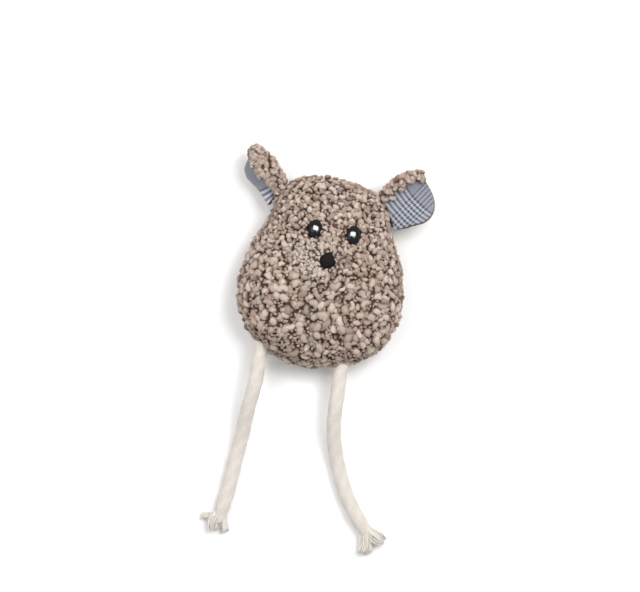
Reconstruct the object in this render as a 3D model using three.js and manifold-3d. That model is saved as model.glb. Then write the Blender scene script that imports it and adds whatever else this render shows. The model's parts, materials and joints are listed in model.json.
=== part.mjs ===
// Catnip toy: a stuffed mouse of curly pile fabric with cupped ears, a plastic face and rope legs.
// Millimetres, +Z up. The toy lies on its back with its face up. +Y runs towards the head and +X to
// the viewer's right, and left and right are the viewer's. The origin is the middle of the flat patch
// under the back.

import * as THREE from 'three';
import { mergeVertices } from 'three/addons/utils/BufferGeometryUtils.js';
import Module from 'manifold-3d';

const wasm = await Module();
wasm.setup();

// Clearances
const contactGap = 0.3; // between pieces that touch
const cutOverrun = 2; // how far a cut runs past the face that it opens

// Body
const bodyWidth = 74.4; // widest, across the belly, over the pile
const bodyLength = 85.6; // top of the head to the bottom edge, over the pile
const frontRise = 20; // belly above the side seam
const backRise = 13.5; // back below the side seam
const restFlatDepth = 0.5; // cut off the back where it lies
const fabricWall = 4; // backing and pile together
const backingWall = 1; // the knitted backing alone
const frontSquareness = 2.3; // exponent of the rounded section, where 2 is an ellipse
const backSquareness = 3.2;
const headSlimShare = 0.12; // the head is thinner than the belly by this share each way
const seamHeight = backRise - restFlatDepth;
const outlineSteps = 40;
const domeRings = 7;

// The outline as shares of half the width and half the length, clockwise from the top of the head
const outlineShares = [
  [-0.1, 1], [0.33, 0.95], [0.6, 0.81], [0.67, 0.58], [0.87, 0.26], [0.99, -0.14],
  [0.96, -0.48], [0.7, -0.8], [0.32, -0.94], [-0.1, -1], [-0.55, -0.89], [-0.91, -0.58],
  [-1, -0.2], [-0.88, 0.26], [-0.7, 0.58], [-0.65, 0.82], [-0.45, 0.95],
];

// Snout, a low swelling round the nose
const snoutRise = 2.6;
const snoutReach = 11;

// The pile's uneven surface: curls stand in clumps, with low places between them
const clumpCount = 210;
const clumpPitch = 6.2; // from one clump to the next
const clumpTurnShare = 0.618034; // of the way round the outline, from each clump to the next one out
const clumpShift = 4.4; // and how far apart chance may set them across and along
const clumpDepth = 1.7; // the low places, below the clumps
const clumpFade = 5; // from the seam to where the clumps stand in full
const muzzlePileShare = 0.35; // clump depth left on the short pile round the nose
const creaseShares = [[-0.65, -0.74], [0.54, -0.78]]; // the fold above the bottom edge, from end to end
const creaseDepth = 1.8;
const creaseWidth = 2.4; // from its middle to its edge
const pileSplit = 3; // each of the outline's steps, for the uneven surface
const pileRings = 28;

// Seam thread, run round the inside of the joint between the panels
const threadDiameter = 1;
const threadSides = 6;
const threadGapShare = 0.01; // of the way round, where the seam starts and stops

// Sachet of dried catnip in the middle of the filling
const sachetWidth = 34;
const sachetLength = 38;
const sachetRise = 5; // each face above the sachet's own seam
const sachetWall = 0.7;
const sachetSquareness = 2.6;
const sachetBack = 6; // from the middle of the body towards the legs
const sachetSteps = 28;
const sachetRings = 5;

// Eyes and nose, plastic domes on a shank with a locking washer behind the fabric
const eyeWidth = 7.4;
const eyeHeight = 8.6;
const eyeRise = 3.6;
const noseWidth = 7.4;
const noseHeight = 8;
const noseRise = 3.8;
const noseCornerShare = 0.1; // how far the nose's three corners stand out
const shankDiameter = 3;
const shankLength = 6.5;
const washerDiameter = 9.6;
const washerThickness = 1.3;
const pileClearance = 0.5; // the pile is parted this far round an eye or the nose
const domeSides = 18;
const leftEyePlace = [-7, 19]; // from the origin, across and towards the head
const rightEyePlace = [9.9, 19];
const nosePlace = [0.8, 6.1];

// Ears, one cut for both: a pile fabric back and a woven cotton lining
const earLength = 21.2; // from the seam to the middle of the rim
const earWidth = 23.6;
const earShoulder = 11.5; // where the ear is widest
const earBaseWidth = 16;
const earPile = 3.2;
const earLining = 0.8;
const earBaseRound = 1.8; // the base is rounded about its hinge line
const earRimRound = 3; // and the pile thins over this distance from the rim
const earEdgePileShare = 0.3; // pile left at the very edge
const earCupShare = 0.6; // of the way to the rim, where the ear has opened to its full cup
const earRows = 7;
const earColumns = 12;

// How each ear is sewn on and folded
const ears = {
  left: {
    angle: THREE.MathUtils.degToRad(130), // the way the ear points, from +X
    rootShares: [-0.71, 0.79], // of half the body's width and length
    opening: THREE.MathUtils.degToRad(90), // turned about its own length, 0 opens upwards
    foldShare: -0.28, // where the fold runs, of half the ear's width
    cupRadius: 4.6,
    pinchRadius: 1.7, // at the base
    setBack: 2.6, // the fold's offset from the ear's middle line, gone at the tip
    baseSlopeShare: -0.38, // how far the base runs aslant, of its own run across
    flapRoom: 0.6, // extra room at the seam, so that the folded base can turn
  },
  right: {
    angle: THREE.MathUtils.degToRad(36),
    rootShares: [0.63, 0.72],
    opening: 0,
    foldShare: 0,
    cupRadius: 15,
    pinchRadius: 40,
    setBack: 0,
    baseSlopeShare: 0.13,
    flapRoom: 0,
  },
};

// Legs, soft laid cotton rope whose ends are unlaid
const ropeDiameter = 6.8;
const ropeSides = 10;
const ropeStep = 5; // along the rope, for each ring of its tube
const hipLength = 8; // the straight stretch that folds at the seam
const strandDiameter = 2.5; // one of the rope's three strands where it leaves the rope
const strandSpreadShare = 0.25; // the strands' offset from the rope's middle, of its diameter
const strandSwellShares = [0.4, 0.85]; // of its length, where a strand loosens to its bloom
const strandRoundShare = 0.75; // and where its end starts to round off
const strandTipShare = 0.55; // thickness left at the very end
const strandSides = 8;
const strandSteps = 6;

// Each leg leaves the seam at a share of the way round the outline. Its route is the seam, the end of
// the hip stretch, then down to the ground and along it: across and along from where it leaves, and
// height above the ground. Its strands run on from the rope's end, which their routes count from.
const legs = {
  left: {
    seamShare: 0.591,
    route: [
      [0, 0, seamHeight], [-0.3, -11.7, seamHeight], [-0.7, -15.5, 12.6], [-1.1, -19.5, 11.6],
      [-1.4, -23.5, 10.1], [-1.7, -27.5, 8.3], [-2, -31.5, 6.5], [-2.2, -35.5, 5], [-2.5, -39.5, 4],
      [-2.9, -43.5, 3.55], [-3.3, -47.5, 3.4], [-3.6, -51.5, 3.4], [-3.9, -55.5, 3.4],
      [-4.2, -59.5, 3.4], [-4.6, -63.5, 3.4], [-5.2, -67.5, 3.4], [-5.8, -70.9, 3.4],
    ],
    strands: [
      { route: [[-5.3, -3.8, 2], [-8.9, -2.8, 1.8]], bloom: 3 },
      { route: [[3.7, -5.8, 1.9], [6.7, -8, 1.8]], bloom: 3 },
      { route: [[-0.6, -5.8, 4.4], [-0.3, -9.2, 3.2]], bloom: 4.6 },
    ],
  },
  right: {
    seamShare: 0.4562,
    route: [
      [0, 0, seamHeight], [0.3, -11.7, seamHeight], [0.4, -15.5, 12.6], [0.6, -19.3, 11.5],
      [1.1, -23.2, 10], [1.7, -27.1, 8.3], [2.6, -30.9, 6.5], [3.7, -34.6, 5], [5, -38.2, 4],
      [6.4, -41.7, 3.55], [7.9, -45.1, 3.4], [9.5, -48.5, 3.4], [11.3, -51.9, 3.4],
      [13.4, -55.3, 3.4], [15.7, -58.7, 3.4], [18.4, -62.1, 3.4], [21.7, -65.9, 3.4],
    ],
    strands: [
      { route: [[-0.1, -6.8, 2.3], [-0.6, -10.4, 2.2]], bloom: 4.2 },
      { route: [[7.4, -2, 2.3], [10.8, -2.2, 2.4]], bloom: 4.6 },
      { route: [[4.6, -6, 4.2], [5.8, -9, 2.6]], bloom: 4.6 },
    ],
  },
};

// Finishes
const finishes = {
  pile: new THREE.MeshStandardMaterial({ color: 0x9c877a, roughness: 1, metalness: 0 }),
  checkCotton: new THREE.MeshStandardMaterial({ color: 0x8e93a3, roughness: 0.9, metalness: 0 }),
  rope: new THREE.MeshStandardMaterial({ color: 0xe6dccf, roughness: 0.95, metalness: 0 }),
  fibre: new THREE.MeshStandardMaterial({ color: 0xf2f0ea, roughness: 1, metalness: 0 }),
  muslin: new THREE.MeshStandardMaterial({ color: 0xddd2b8, roughness: 0.95, metalness: 0 }),
  herb: new THREE.MeshStandardMaterial({ color: 0x6e7a4a, roughness: 1, metalness: 0 }),
  gloss: new THREE.MeshStandardMaterial({ color: 0x0b0b0c, roughness: 0.08, metalness: 0 }),
  matt: new THREE.MeshStandardMaterial({ color: 0x1f1d1d, roughness: 0.85, metalness: 0 }),
  washer: new THREE.MeshStandardMaterial({ color: 0xe8e8e4, roughness: 0.5, metalness: 0 }),
  thread: new THREE.MeshStandardMaterial({ color: 0x6b5649, roughness: 0.9, metalness: 0 }),
};

const toy = new THREE.Group();

// Adds a named piece to the toy, or to a group inside it
function addPiece(name, geometry, material, parent = toy) {
  const mesh = new THREE.Mesh(geometry, material);
  mesh.name = name;
  parent.add(mesh);
}

function solidOf(geometry) {
  const bare = geometry.clone();
  bare.deleteAttribute('normal');
  bare.deleteAttribute('uv');
  const merged = mergeVertices(bare);
  const vertProperties = new Float32Array(merged.attributes.position.array);
  const triVerts = new Uint32Array(merged.index.array);
  return new wasm.Manifold(new wasm.Mesh({ numProp: 3, vertProperties, triVerts }));
}

function geometryOf(solid) {
  const mesh = solid.getMesh();
  return indexedGeometry(Array.from(mesh.vertProperties), Array.from(mesh.triVerts));
}

function indexedGeometry(positions, faces) {
  const geometry = new THREE.BufferGeometry();
  geometry.setAttribute('position', new THREE.Float32BufferAttribute(positions, 3));
  geometry.setIndex(faces);
  geometry.computeVertexNormals();
  return geometry;
}

// Joins closed loops of points, each a list of vectors, into one closed skin with a fan at each end
function skinLoops(loops, firstTip, lastTip) {
  const positions = [];
  const faces = [];
  const count = loops[0].length;
  loops.flat().forEach((point) => positions.push(point.x, point.y, point.z));
  positions.push(firstTip.x, firstTip.y, firstTip.z, lastTip.x, lastTip.y, lastTip.z);
  const first = loops.length * count;
  const lastLoop = first - count;
  for (let i = 0; i < count; i += 1) {
    const next = (i + 1) % count;
    for (let loop = 0; loop < loops.length - 1; loop += 1) {
      const a = loop * count + i;
      const b = loop * count + next;
      faces.push(a, b, b + count, a, b + count, a + count);
    }
    faces.push(first, next, i);
    faces.push(first + 1, lastLoop + i, lastLoop + next);
  }
  return indexedGeometry(positions, outwardFaces(positions, faces));
}

// Turns all the faces over when they point inwards
function outwardFaces(positions, faces) {
  const corner = (index) => new THREE.Vector3().fromArray(positions, index * 3);
  let volume = 0;
  for (let i = 0; i < faces.length; i += 3) {
    const [a, b, c] = [corner(faces[i]), corner(faces[i + 1]), corner(faces[i + 2])];
    volume += a.dot(b.cross(c));
  }
  if (volume > 0) {
    return faces;
  }
  return faces.slice().reverse();
}

// Places that count across and along from an origin, and in height from the ground
function placesFrom(origin, rows) {
  return rows.map(([across, along, height]) =>
    new THREE.Vector3(origin.x + across, origin.y + along, height));
}

// Body shapes

const outlineCorners = outlineShares.map(([across, along]) =>
  new THREE.Vector3(across * bodyWidth / 2, along * bodyLength / 2, 0));
const outlineCurve = new THREE.CatmullRomCurve3(outlineCorners, true, 'centripetal');
const bodyOutline = outlineCurve.getSpacedPoints(outlineSteps).slice(0, outlineSteps);
const pileOutline = bodyOutline.flatMap((point, index) => {
  const next = bodyOutline[(index + 1) % outlineSteps];
  return Array.from({ length: pileSplit }, (_, part) => point.clone().lerp(next, part / pileSplit));
});

function sachetOutline() {
  const points = [];
  for (let i = 0; i < sachetSteps; i += 1) {
    const angle = -i / sachetSteps * 2 * Math.PI;
    const power = 2 / sachetSquareness;
    const across = Math.sign(Math.cos(angle)) * Math.abs(Math.cos(angle)) ** power;
    const along = Math.sign(Math.sin(angle)) * Math.abs(Math.sin(angle)) ** power;
    points.push(new THREE.Vector3(across * sachetWidth / 2, along * sachetLength / 2, 0));
  }
  return points;
}

// Tops of the clumps, spread over the front like the seeds of a flower head, then shifted
THREE.MathUtils.seededRandom(4);
const clumpTops = Array.from({ length: clumpCount }, (_, index) => {
  const spread = (index + 0.5) / clumpCount;
  const share = Math.sqrt((3 * spread - spread ** 2) / 2);
  const top = outlineCurve.getPointAt(index * clumpTurnShare % 1).multiplyScalar(share);
  top.x += clumpShift * (THREE.MathUtils.seededRandom() - 0.5);
  top.y += clumpShift * (THREE.MathUtils.seededRandom() - 0.5);
  return top.setZ(frontHeight(top.x, top.y, share, frontRise));
});

// How far the pile's surface lies below the tops of its clumps at a place on the front
function pileDent(place) {
  const away = Math.min(...clumpTops.map((top) => top.distanceTo(place))) / clumpPitch;
  const low = THREE.MathUtils.smoothstep(away, 0.12, 0.62);
  const muzzle = snoutSwell(place.x, place.y) / snoutRise;
  const standing = THREE.MathUtils.smoothstep(place.z, 0, clumpFade);
  const clumps = clumpDepth * low * standing * THREE.MathUtils.lerp(1, muzzlePileShare, muzzle);

  const [start, end] = creaseShares.map(([across, along]) =>
    new THREE.Vector3(across * bodyWidth / 2, along * bodyLength / 2, 0));
  const level = new THREE.Vector3(place.x, place.y, 0);
  const nearest = new THREE.Line3(start, end).closestPointToPoint(level, true, new THREE.Vector3());
  const crease = creaseDepth * Math.exp(-((level.distanceTo(nearest) / creaseWidth) ** 2));
  return Math.min(clumps + crease, fabricWall - backingWall - contactGap);
}

// Share of the way from the middle to the seam at a place on the body
function seamShare(x, y) {
  for (let i = 0; i < bodyOutline.length; i += 1) {
    const a = bodyOutline[i];
    const b = bodyOutline[(i + 1) % bodyOutline.length];
    const spread = a.x * b.y - a.y * b.x;
    const first = (x * b.y - y * b.x) / spread;
    const second = (a.x * y - a.y * x) / spread;
    if (first >= 0 && second >= 0) {
      return first + second;
    }
  }
  return 0;
}

function snoutSwell(x, y) {
  const away = Math.hypot(x - nosePlace[0], y - nosePlace[1]) / snoutReach;
  return snoutRise * Math.exp(-away * away);
}

function roundedHeight(share, rise, squareness) {
  return rise * (1 - share ** squareness) ** (1 / squareness);
}

// Height of the front above the seam, at a share of the way out to the seam
function frontHeight(x, y, share, rise) {
  const slim = 1 - headSlimShare * y / (bodyLength / 2);
  return roundedHeight(share, rise, frontSquareness) * slim + snoutSwell(x, y) * (1 - share ** 2);
}

// A dome over an outline, drawn in on all sides by an inset, with a straight skirt past its flat face,
// its surface lowered by the dent at each place
function dome(outline, width, length, inset, skirt, heightAt, side, rings = domeRings, dentAt = () => 0) {
  const shrink = new THREE.Vector3(1 - 2 * inset / width, 1 - 2 * inset / length, 1);
  const loops = [];
  if (skirt > 0) {
    loops.push(outline.map((point) => point.clone().multiply(shrink).setZ(-skirt * side)));
  }
  for (let ring = 0; ring < rings; ring += 1) {
    const share = Math.cos(ring / rings * Math.PI / 2);
    loops.push(outline.map((point) => {
      const place = point.clone().multiplyScalar(share).multiply(shrink);
      place.setZ(heightAt(place.x, place.y, share) * side);
      return place.setLength(place.length() - dentAt(place));
    }));
  }
  const foot = new THREE.Vector3(0, 0, -skirt * side);
  const crown = new THREE.Vector3(0, 0, heightAt(0, 0, 0) * side);
  crown.setLength(crown.length() - dentAt(crown));
  return skinLoops(loops, foot, crown);
}

function frontDome(inset, skirt) {
  const heightAt = (x, y, share) => frontHeight(x, y, share, frontRise - inset);
  const shape = dome(bodyOutline, bodyWidth, bodyLength, inset, skirt, heightAt, 1);
  return solidOf(shape.translate(0, 0, seamHeight + contactGap / 2));
}

// The front over its pile, with the clumps and the crease
function frontPile() {
  const heightAt = (x, y, share) => frontHeight(x, y, share, frontRise);
  const shape = dome(pileOutline, bodyWidth, bodyLength, 0, 0, heightAt, 1, pileRings, pileDent);
  return solidOf(shape.translate(0, 0, seamHeight + contactGap / 2));
}

function backDome(inset, skirt) {
  const heightAt = (x, y, share) => roundedHeight(share, backRise - inset, backSquareness);
  const shape = dome(bodyOutline, bodyWidth, bodyLength, inset, skirt, heightAt, -1);
  return solidOf(shape.translate(0, 0, seamHeight - contactGap / 2));
}

function sachetDome(inset, skirt, side) {
  const heightAt = (x, y, share) => roundedHeight(share, sachetRise - inset, sachetSquareness);
  const outline = sachetOutline();
  const shape = dome(outline, sachetWidth, sachetLength, inset, skirt, heightAt, side, sachetRings);
  return solidOf(shape.translate(0, -sachetBack, seamHeight + contactGap / 2 * side));
}

// Face: each piece stands on the backing, square to the front of the body
function seatOnFront([x, y]) {
  const heightAt = (px, py) => frontHeight(px, py, seamShare(px, py), frontRise);
  const probe = backingWall / 2;
  const slopeX = (heightAt(x + probe, y) - heightAt(x - probe, y)) / (2 * probe);
  const slopeY = (heightAt(x, y + probe) - heightAt(x, y - probe)) / (2 * probe);
  const outward = new THREE.Vector3(-slopeX, -slopeY, 1).normalize();
  const seat = new THREE.Group();
  seat.position.set(x, y, seamHeight + contactGap / 2 + heightAt(x, y));
  seat.position.addScaledVector(outward, backingWall - fabricWall);
  seat.quaternion.setFromUnitVectors(new THREE.Vector3(0, 0, 1), outward);
  seat.updateMatrixWorld();
  return seat;
}

function uprightCylinder(radius, bottom, top, sides = domeSides) {
  const shape = new THREE.CylinderGeometry(radius, radius, top - bottom, sides);
  return shape.rotateX(Math.PI / 2).translate(0, 0, (bottom + top) / 2);
}

// A plastic cap over an outline, on its shank
function shankedCap(outline, width, height, rise) {
  const heightAt = (x, y, share) => roundedHeight(share, rise, 2);
  const cap = dome(outline, width, height, 0, 0, heightAt, 1).translate(0, 0, contactGap);
  const shank = uprightCylinder(shankDiameter / 2, -shankLength, rise / 2);
  return geometryOf(solidOf(cap).add(solidOf(shank)));
}

function eyeShape() {
  const outline = [];
  for (let i = 0; i < domeSides; i += 1) {
    const angle = -i / domeSides * 2 * Math.PI;
    outline.push(new THREE.Vector3(eyeWidth / 2 * Math.cos(angle), eyeHeight / 2 * Math.sin(angle), 0));
  }
  return shankedCap(outline, eyeWidth, eyeHeight, eyeRise);
}

function noseShape() {
  const outline = [];
  for (let i = 0; i < domeSides; i += 1) {
    const angle = -i / domeSides * 2 * Math.PI;
    const reach = 1 + noseCornerShare * Math.cos(3 * (angle + Math.PI / 2));
    const across = noseWidth / 2 * reach * Math.cos(angle);
    outline.push(new THREE.Vector3(across, noseHeight / 2 * reach * Math.sin(angle), 0));
  }
  return shankedCap(outline, noseWidth, noseHeight, noseRise);
}

function washerShape() {
  const inner = shankDiameter / 2 + contactGap;
  const outer = washerDiameter / 2;
  const top = -backingWall - contactGap;
  const bottom = top - washerThickness;
  const profile = [[inner, bottom], [outer, bottom], [outer, top], [inner, top], [inner, bottom]];
  const points = profile.map(([radius, height]) => new THREE.Vector2(radius, height));
  return new THREE.LatheGeometry(points, domeSides).rotateX(Math.PI / 2);
}

// What a face piece takes out of the front panel: the parted pile, the hole and the washer's seat
function panelCut(seat, pocketRadius) {
  const pocket = uprightCylinder(pocketRadius, 0, fabricWall + cutOverrun);
  const hole = uprightCylinder(shankDiameter / 2 + contactGap, -fabricWall, cutOverrun);
  const washerSeat = uprightCylinder(washerDiameter / 2 + contactGap, -fabricWall, -backingWall);
  const placed = [pocket, hole, washerSeat].map((shape) => shape.applyMatrix4(seat.matrixWorld));
  const [first, ...rest] = placed.map(solidOf);
  return rest.reduce((sum, solid) => sum.add(solid), first);
}

// What it takes out of the filling behind the panel
function fillingCut(seat) {
  const reach = shankLength + contactGap;
  const pocket = uprightCylinder(washerDiameter / 2 + contactGap, -reach, fabricWall);
  return solidOf(pocket.applyMatrix4(seat.matrixWorld));
}

// Furthest reach of each shape from its shank
const eyeReach = Math.max(eyeWidth, eyeHeight) / 2;
const noseReach = Math.max(noseWidth, noseHeight) / 2 * (1 + noseCornerShare);

const face = [
  { name: 'left_eye', place: leftEyePlace, shape: eyeShape, finish: finishes.gloss, reach: eyeReach },
  { name: 'right_eye', place: rightEyePlace, shape: eyeShape, finish: finishes.gloss, reach: eyeReach },
  { name: 'nose', place: nosePlace, shape: noseShape, finish: finishes.matt, reach: noseReach },
];

function addBody() {
  let frontPanel = frontPile().subtract(frontDome(fabricWall, cutOverrun));
  let backPanel = backDome(0, 0).subtract(backDome(fabricWall, cutOverrun));
  const ground = new THREE.BoxGeometry(bodyWidth, bodyLength, backRise).translate(0, 0, -backRise / 2);
  backPanel = backPanel.subtract(solidOf(ground));

  const fillingInset = fabricWall + contactGap;
  const threadRoom = fillingInset + threadDiameter + 2 * contactGap;
  const rimTop = threadDiameter / 2 + contactGap;
  const rebate = (domeOf) => {
    const outer = domeOf(fillingInset - contactGap, cutOverrun);
    return outer.subtract(domeOf(threadRoom, 2 * cutOverrun));
  };
  const rimSlab = new THREE.BoxGeometry(bodyWidth, bodyLength, 2 * rimTop).translate(0, 0, seamHeight);
  let frontFilling = frontDome(fillingInset, 0).subtract(rebate(frontDome).intersect(solidOf(rimSlab)));
  let backFilling = backDome(fillingInset, 0).subtract(rebate(backDome).intersect(solidOf(rimSlab)));
  frontFilling = frontFilling.subtract(sachetDome(-contactGap, cutOverrun, 1));
  backFilling = backFilling.subtract(sachetDome(-contactGap, cutOverrun, -1));

  for (const piece of face) {
    const seat = seatOnFront(piece.place);
    frontPanel = frontPanel.subtract(panelCut(seat, piece.reach + pileClearance));
    frontFilling = frontFilling.subtract(fillingCut(seat));
    addPiece(piece.name, piece.shape(), piece.finish, seat);
    addPiece(`${piece.name}_washer`, washerShape(), finishes.washer, seat);
    toy.add(seat);
  }

  addPiece('front_panel', geometryOf(frontPanel), finishes.pile);
  addPiece('back_panel', geometryOf(backPanel), finishes.pile);
  addPiece('front_filling', geometryOf(frontFilling), finishes.fibre);
  addPiece('back_filling', geometryOf(backFilling), finishes.fibre);
}

function addSeamThread() {
  const inset = fabricWall + 2 * contactGap + threadDiameter / 2;
  const shrink = new THREE.Vector3(1 - 2 * inset / bodyWidth, 1 - 2 * inset / bodyLength, 1);
  const loop = new THREE.CatmullRomCurve3(bodyOutline.map((point) => point.clone().multiply(shrink)), true);
  const points = [];
  for (let i = 0; i <= outlineSteps; i += 1) {
    points.push(loop.getPoint(threadGapShare + i / outlineSteps * (1 - 2 * threadGapShare)));
  }
  const path = new THREE.CatmullRomCurve3(points);
  const thread = tubeAlong(path, threadDiameter / 2, threadSides, outlineSteps);
  addPiece('seam_thread', thread.translate(0, 0, seamHeight), finishes.thread);
}

function addSachet() {
  const halves = { sachet_front: 1, sachet_back: -1 };
  for (const [name, side] of Object.entries(halves)) {
    const shell = sachetDome(0, 0, side).subtract(sachetDome(sachetWall, cutOverrun, side));
    addPiece(name, geometryOf(shell), finishes.muslin);
  }
  const inset = sachetWall + contactGap;
  const herb = sachetDome(inset, contactGap, 1).add(sachetDome(inset, contactGap, -1));
  addPiece('dried_catnip', geometryOf(herb), finishes.herb);
}

// Ears

// Directions of an ear: along its length, across it, and the way that its cup opens
function earAxes(ear) {
  const along = new THREE.Vector3(Math.cos(ear.angle), Math.sin(ear.angle), 0);
  const sideways = new THREE.Vector3(-along.y, along.x, 0);
  const upwards = new THREE.Vector3(0, 0, 1);
  const turn = (vector) => vector.clone().applyAxisAngle(along, -ear.opening);
  return { along, sideways, across: turn(sideways), opens: turn(upwards) };
}

// The seam's furthest reach along an ear's direction, under the ear's base
function earSeat(ear, axes) {
  const [across, up] = ear.rootShares;
  const root = new THREE.Vector3(across * bodyWidth / 2, up * bodyLength / 2, seamHeight);
  const base = axes.along.clone().addScaledVector(axes.sideways, -ear.baseSlopeShare).normalize();
  let reach = -Infinity;
  for (const point of bodyOutline) {
    const offset = point.clone().setZ(seamHeight).sub(root);
    if (Math.abs(offset.dot(axes.sideways)) < earBaseWidth / 2) {
      reach = Math.max(reach, offset.dot(base));
    }
  }
  return root.addScaledVector(base, reach + contactGap + ear.flapRoom);
}

// The middle surface of an ear, from base to rim as u goes 0 to 1, and across as v goes -1 to 1
function earPoint(ear, axes, seat, u, v) {
  const rimAngle = v * Math.PI / 2;
  const rimAlong = earShoulder + (earLength - earShoulder) * Math.cos(rimAngle);
  const flat = THREE.MathUtils.lerp(earBaseWidth / 2 * v, earWidth / 2 * Math.sin(rimAngle), u);
  const opened = THREE.MathUtils.smoothstep(u, 0, earCupShare);
  const reach = rimAlong / earLength * u;
  const setBack = ear.setBack * (1 - THREE.MathUtils.smoothstep(reach, earCupShare, 1));
  const radius = THREE.MathUtils.lerp(ear.pinchRadius, ear.cupRadius, opened);
  const fromFold = flat - ear.foldShare * earWidth / 2;
  const turn = THREE.MathUtils.clamp(fromFold / radius, -Math.PI / 2, Math.PI / 2);
  const straight = fromFold - turn * radius;
  const across = radius * Math.sin(turn) + straight * Math.cos(turn);
  const depth = radius * (1 - Math.cos(turn)) + straight * Math.sin(turn) - setBack;
  const slant = ear.baseSlopeShare * (ear.opening > 0 ? depth : across) * (1 - u);
  return seat.clone()
    .addScaledVector(axes.along, rimAlong * u + slant)
    .addScaledVector(axes.across, across)
    .addScaledVector(axes.opens, depth);
}

function earNormal(ear, axes, seat, u, v) {
  const step = 1 / (4 * earColumns);
  const point = (du, dv) => earPoint(ear, axes, seat, u + du, v + dv);
  const lengthwise = point(step, 0).sub(point(-step, 0));
  const widthwise = point(0, step).sub(point(0, -step));
  return lengthwise.cross(widthwise).normalize();
}

// A closed layer of the ear between two offsets from its middle surface, each a function of u and v
function earLayer(ear, axes, seat, innerAt, outerAt) {
  const positions = [];
  const faces = [];
  const stride = earColumns + 1;
  const side = (earRows + 1) * stride;
  for (const offsetAt of [innerAt, outerAt]) {
    for (let row = 0; row <= earRows; row += 1) {
      for (let column = 0; column <= earColumns; column += 1) {
        const u = row / earRows;
        const v = 2 * column / earColumns - 1;
        const normal = earNormal(ear, axes, seat, u, v);
        const point = earPoint(ear, axes, seat, u, v).addScaledVector(normal, offsetAt(u, v));
        positions.push(point.x, point.y, point.z);
      }
    }
  }
  const quad = (a, b, c, d) => faces.push(a, b, c, a, c, d);
  for (let row = 0; row < earRows; row += 1) {
    for (let column = 0; column < earColumns; column += 1) {
      const a = row * stride + column;
      quad(a, a + 1, a + 1 + stride, a + stride);
      quad(a + side, a + stride + side, a + 1 + stride + side, a + 1 + side);
    }
  }
  const columns = Array.from({ length: earColumns }, (unused, column) => column);
  const rows = Array.from({ length: earRows }, (unused, row) => row);
  const edge = [
    ...columns,
    ...rows.map((row) => row * stride + earColumns),
    ...columns.map((column) => earRows * stride + earColumns - column),
    ...rows.map((row) => (earRows - row) * stride),
  ];
  edge.forEach((a, i) => {
    const b = edge[(i + 1) % edge.length];
    quad(b, a, a + side, b + side);
  });
  return indexedGeometry(positions, outwardFaces(positions, faces));
}

function addEar(name, ear) {
  const axes = earAxes(ear);
  const seat = earSeat(ear, axes);
  const half = contactGap / 2;
  const rounding = (inward) => {
    const share = Math.sqrt(1 - (1 - Math.min(inward, 1)) ** 2);
    return THREE.MathUtils.lerp(earEdgePileShare, 1, share);
  };
  const pileAt = (u, v) => {
    const fromRim = Math.min((1 - u) * earLength, (1 - Math.abs(v)) * earWidth / 2);
    return earPile * Math.min(rounding(u * earLength / earBaseRound), rounding(fromRim / earRimRound));
  };
  const lining = earLayer(ear, axes, seat, () => half, () => half + earLining);
  const back = earLayer(ear, axes, seat, () => -half, (u, v) => -half - pileAt(u, v));
  addPiece(`${name}_ear_lining`, lining, finishes.checkCotton);
  addPiece(`${name}_ear_back`, back, finishes.pile);
}

// Legs

function tubeAlong(path, radius, sides, steps) {
  const section = new THREE.Shape();
  for (let i = 0; i < sides; i += 1) {
    const angle = i / sides * 2 * Math.PI;
    const [x, y] = [radius * Math.cos(angle), radius * Math.sin(angle)];
    if (i === 0) {
      section.moveTo(x, y);
    } else {
      section.lineTo(x, y);
    }
  }
  return new THREE.ExtrudeGeometry(section, { steps, extrudePath: path, bevelEnabled: false });
}

// A tube with a round end about its first point, where it turns against its neighbour
function jointedTube(path, steps) {
  const radius = ropeDiameter / 2;
  const tube = solidOf(tubeAlong(path, radius, ropeSides, steps));
  const ball = new THREE.SphereGeometry(radius, ropeSides, ropeSides / 2);
  const start = path.getPoint(0);
  const turned = new THREE.Quaternion().setFromUnitVectors(new THREE.Vector3(0, 1, 0), path.getTangent(0));
  ball.applyQuaternion(turned).translate(start.x, start.y, start.z);
  return geometryOf(tube.add(solidOf(ball)));
}

// A loosened strand, from the rope's thickness to its bloom and round at its end
function strandShape(route, bloom) {
  const path = new THREE.CatmullRomCurve3(route);
  const frames = path.computeFrenetFrames(strandSteps);
  const loops = [];
  for (let step = 0; step <= strandSteps; step += 1) {
    const share = step / strandSteps;
    const swell = THREE.MathUtils.smoothstep(share, ...strandSwellShares);
    const past = Math.max(0, share - strandRoundShare) / (1 - strandRoundShare);
    const rounded = Math.sqrt(1 - (1 - strandTipShare ** 2) * past ** 2);
    const radius = THREE.MathUtils.lerp(strandDiameter, bloom, swell) / 2 * rounded;
    const middle = path.getPoint(share);
    const loop = [];
    for (let i = 0; i < strandSides; i += 1) {
      const angle = i / strandSides * 2 * Math.PI;
      loop.push(middle.clone()
        .addScaledVector(frames.normals[step], radius * Math.cos(angle))
        .addScaledVector(frames.binormals[step], radius * Math.sin(angle)));
    }
    loops.push(loop);
  }
  return skinLoops(loops, path.getPoint(0), path.getPoint(1));
}

// Where a leg leaves the seam, clear of the panels
function legRoot(seamShare) {
  const tangent = outlineCurve.getTangentAt(seamShare);
  const outward = new THREE.Vector3(-tangent.y, tangent.x, 0);
  return outlineCurve.getPointAt(seamShare).addScaledVector(outward, ropeDiameter / 2 + contactGap);
}

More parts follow.
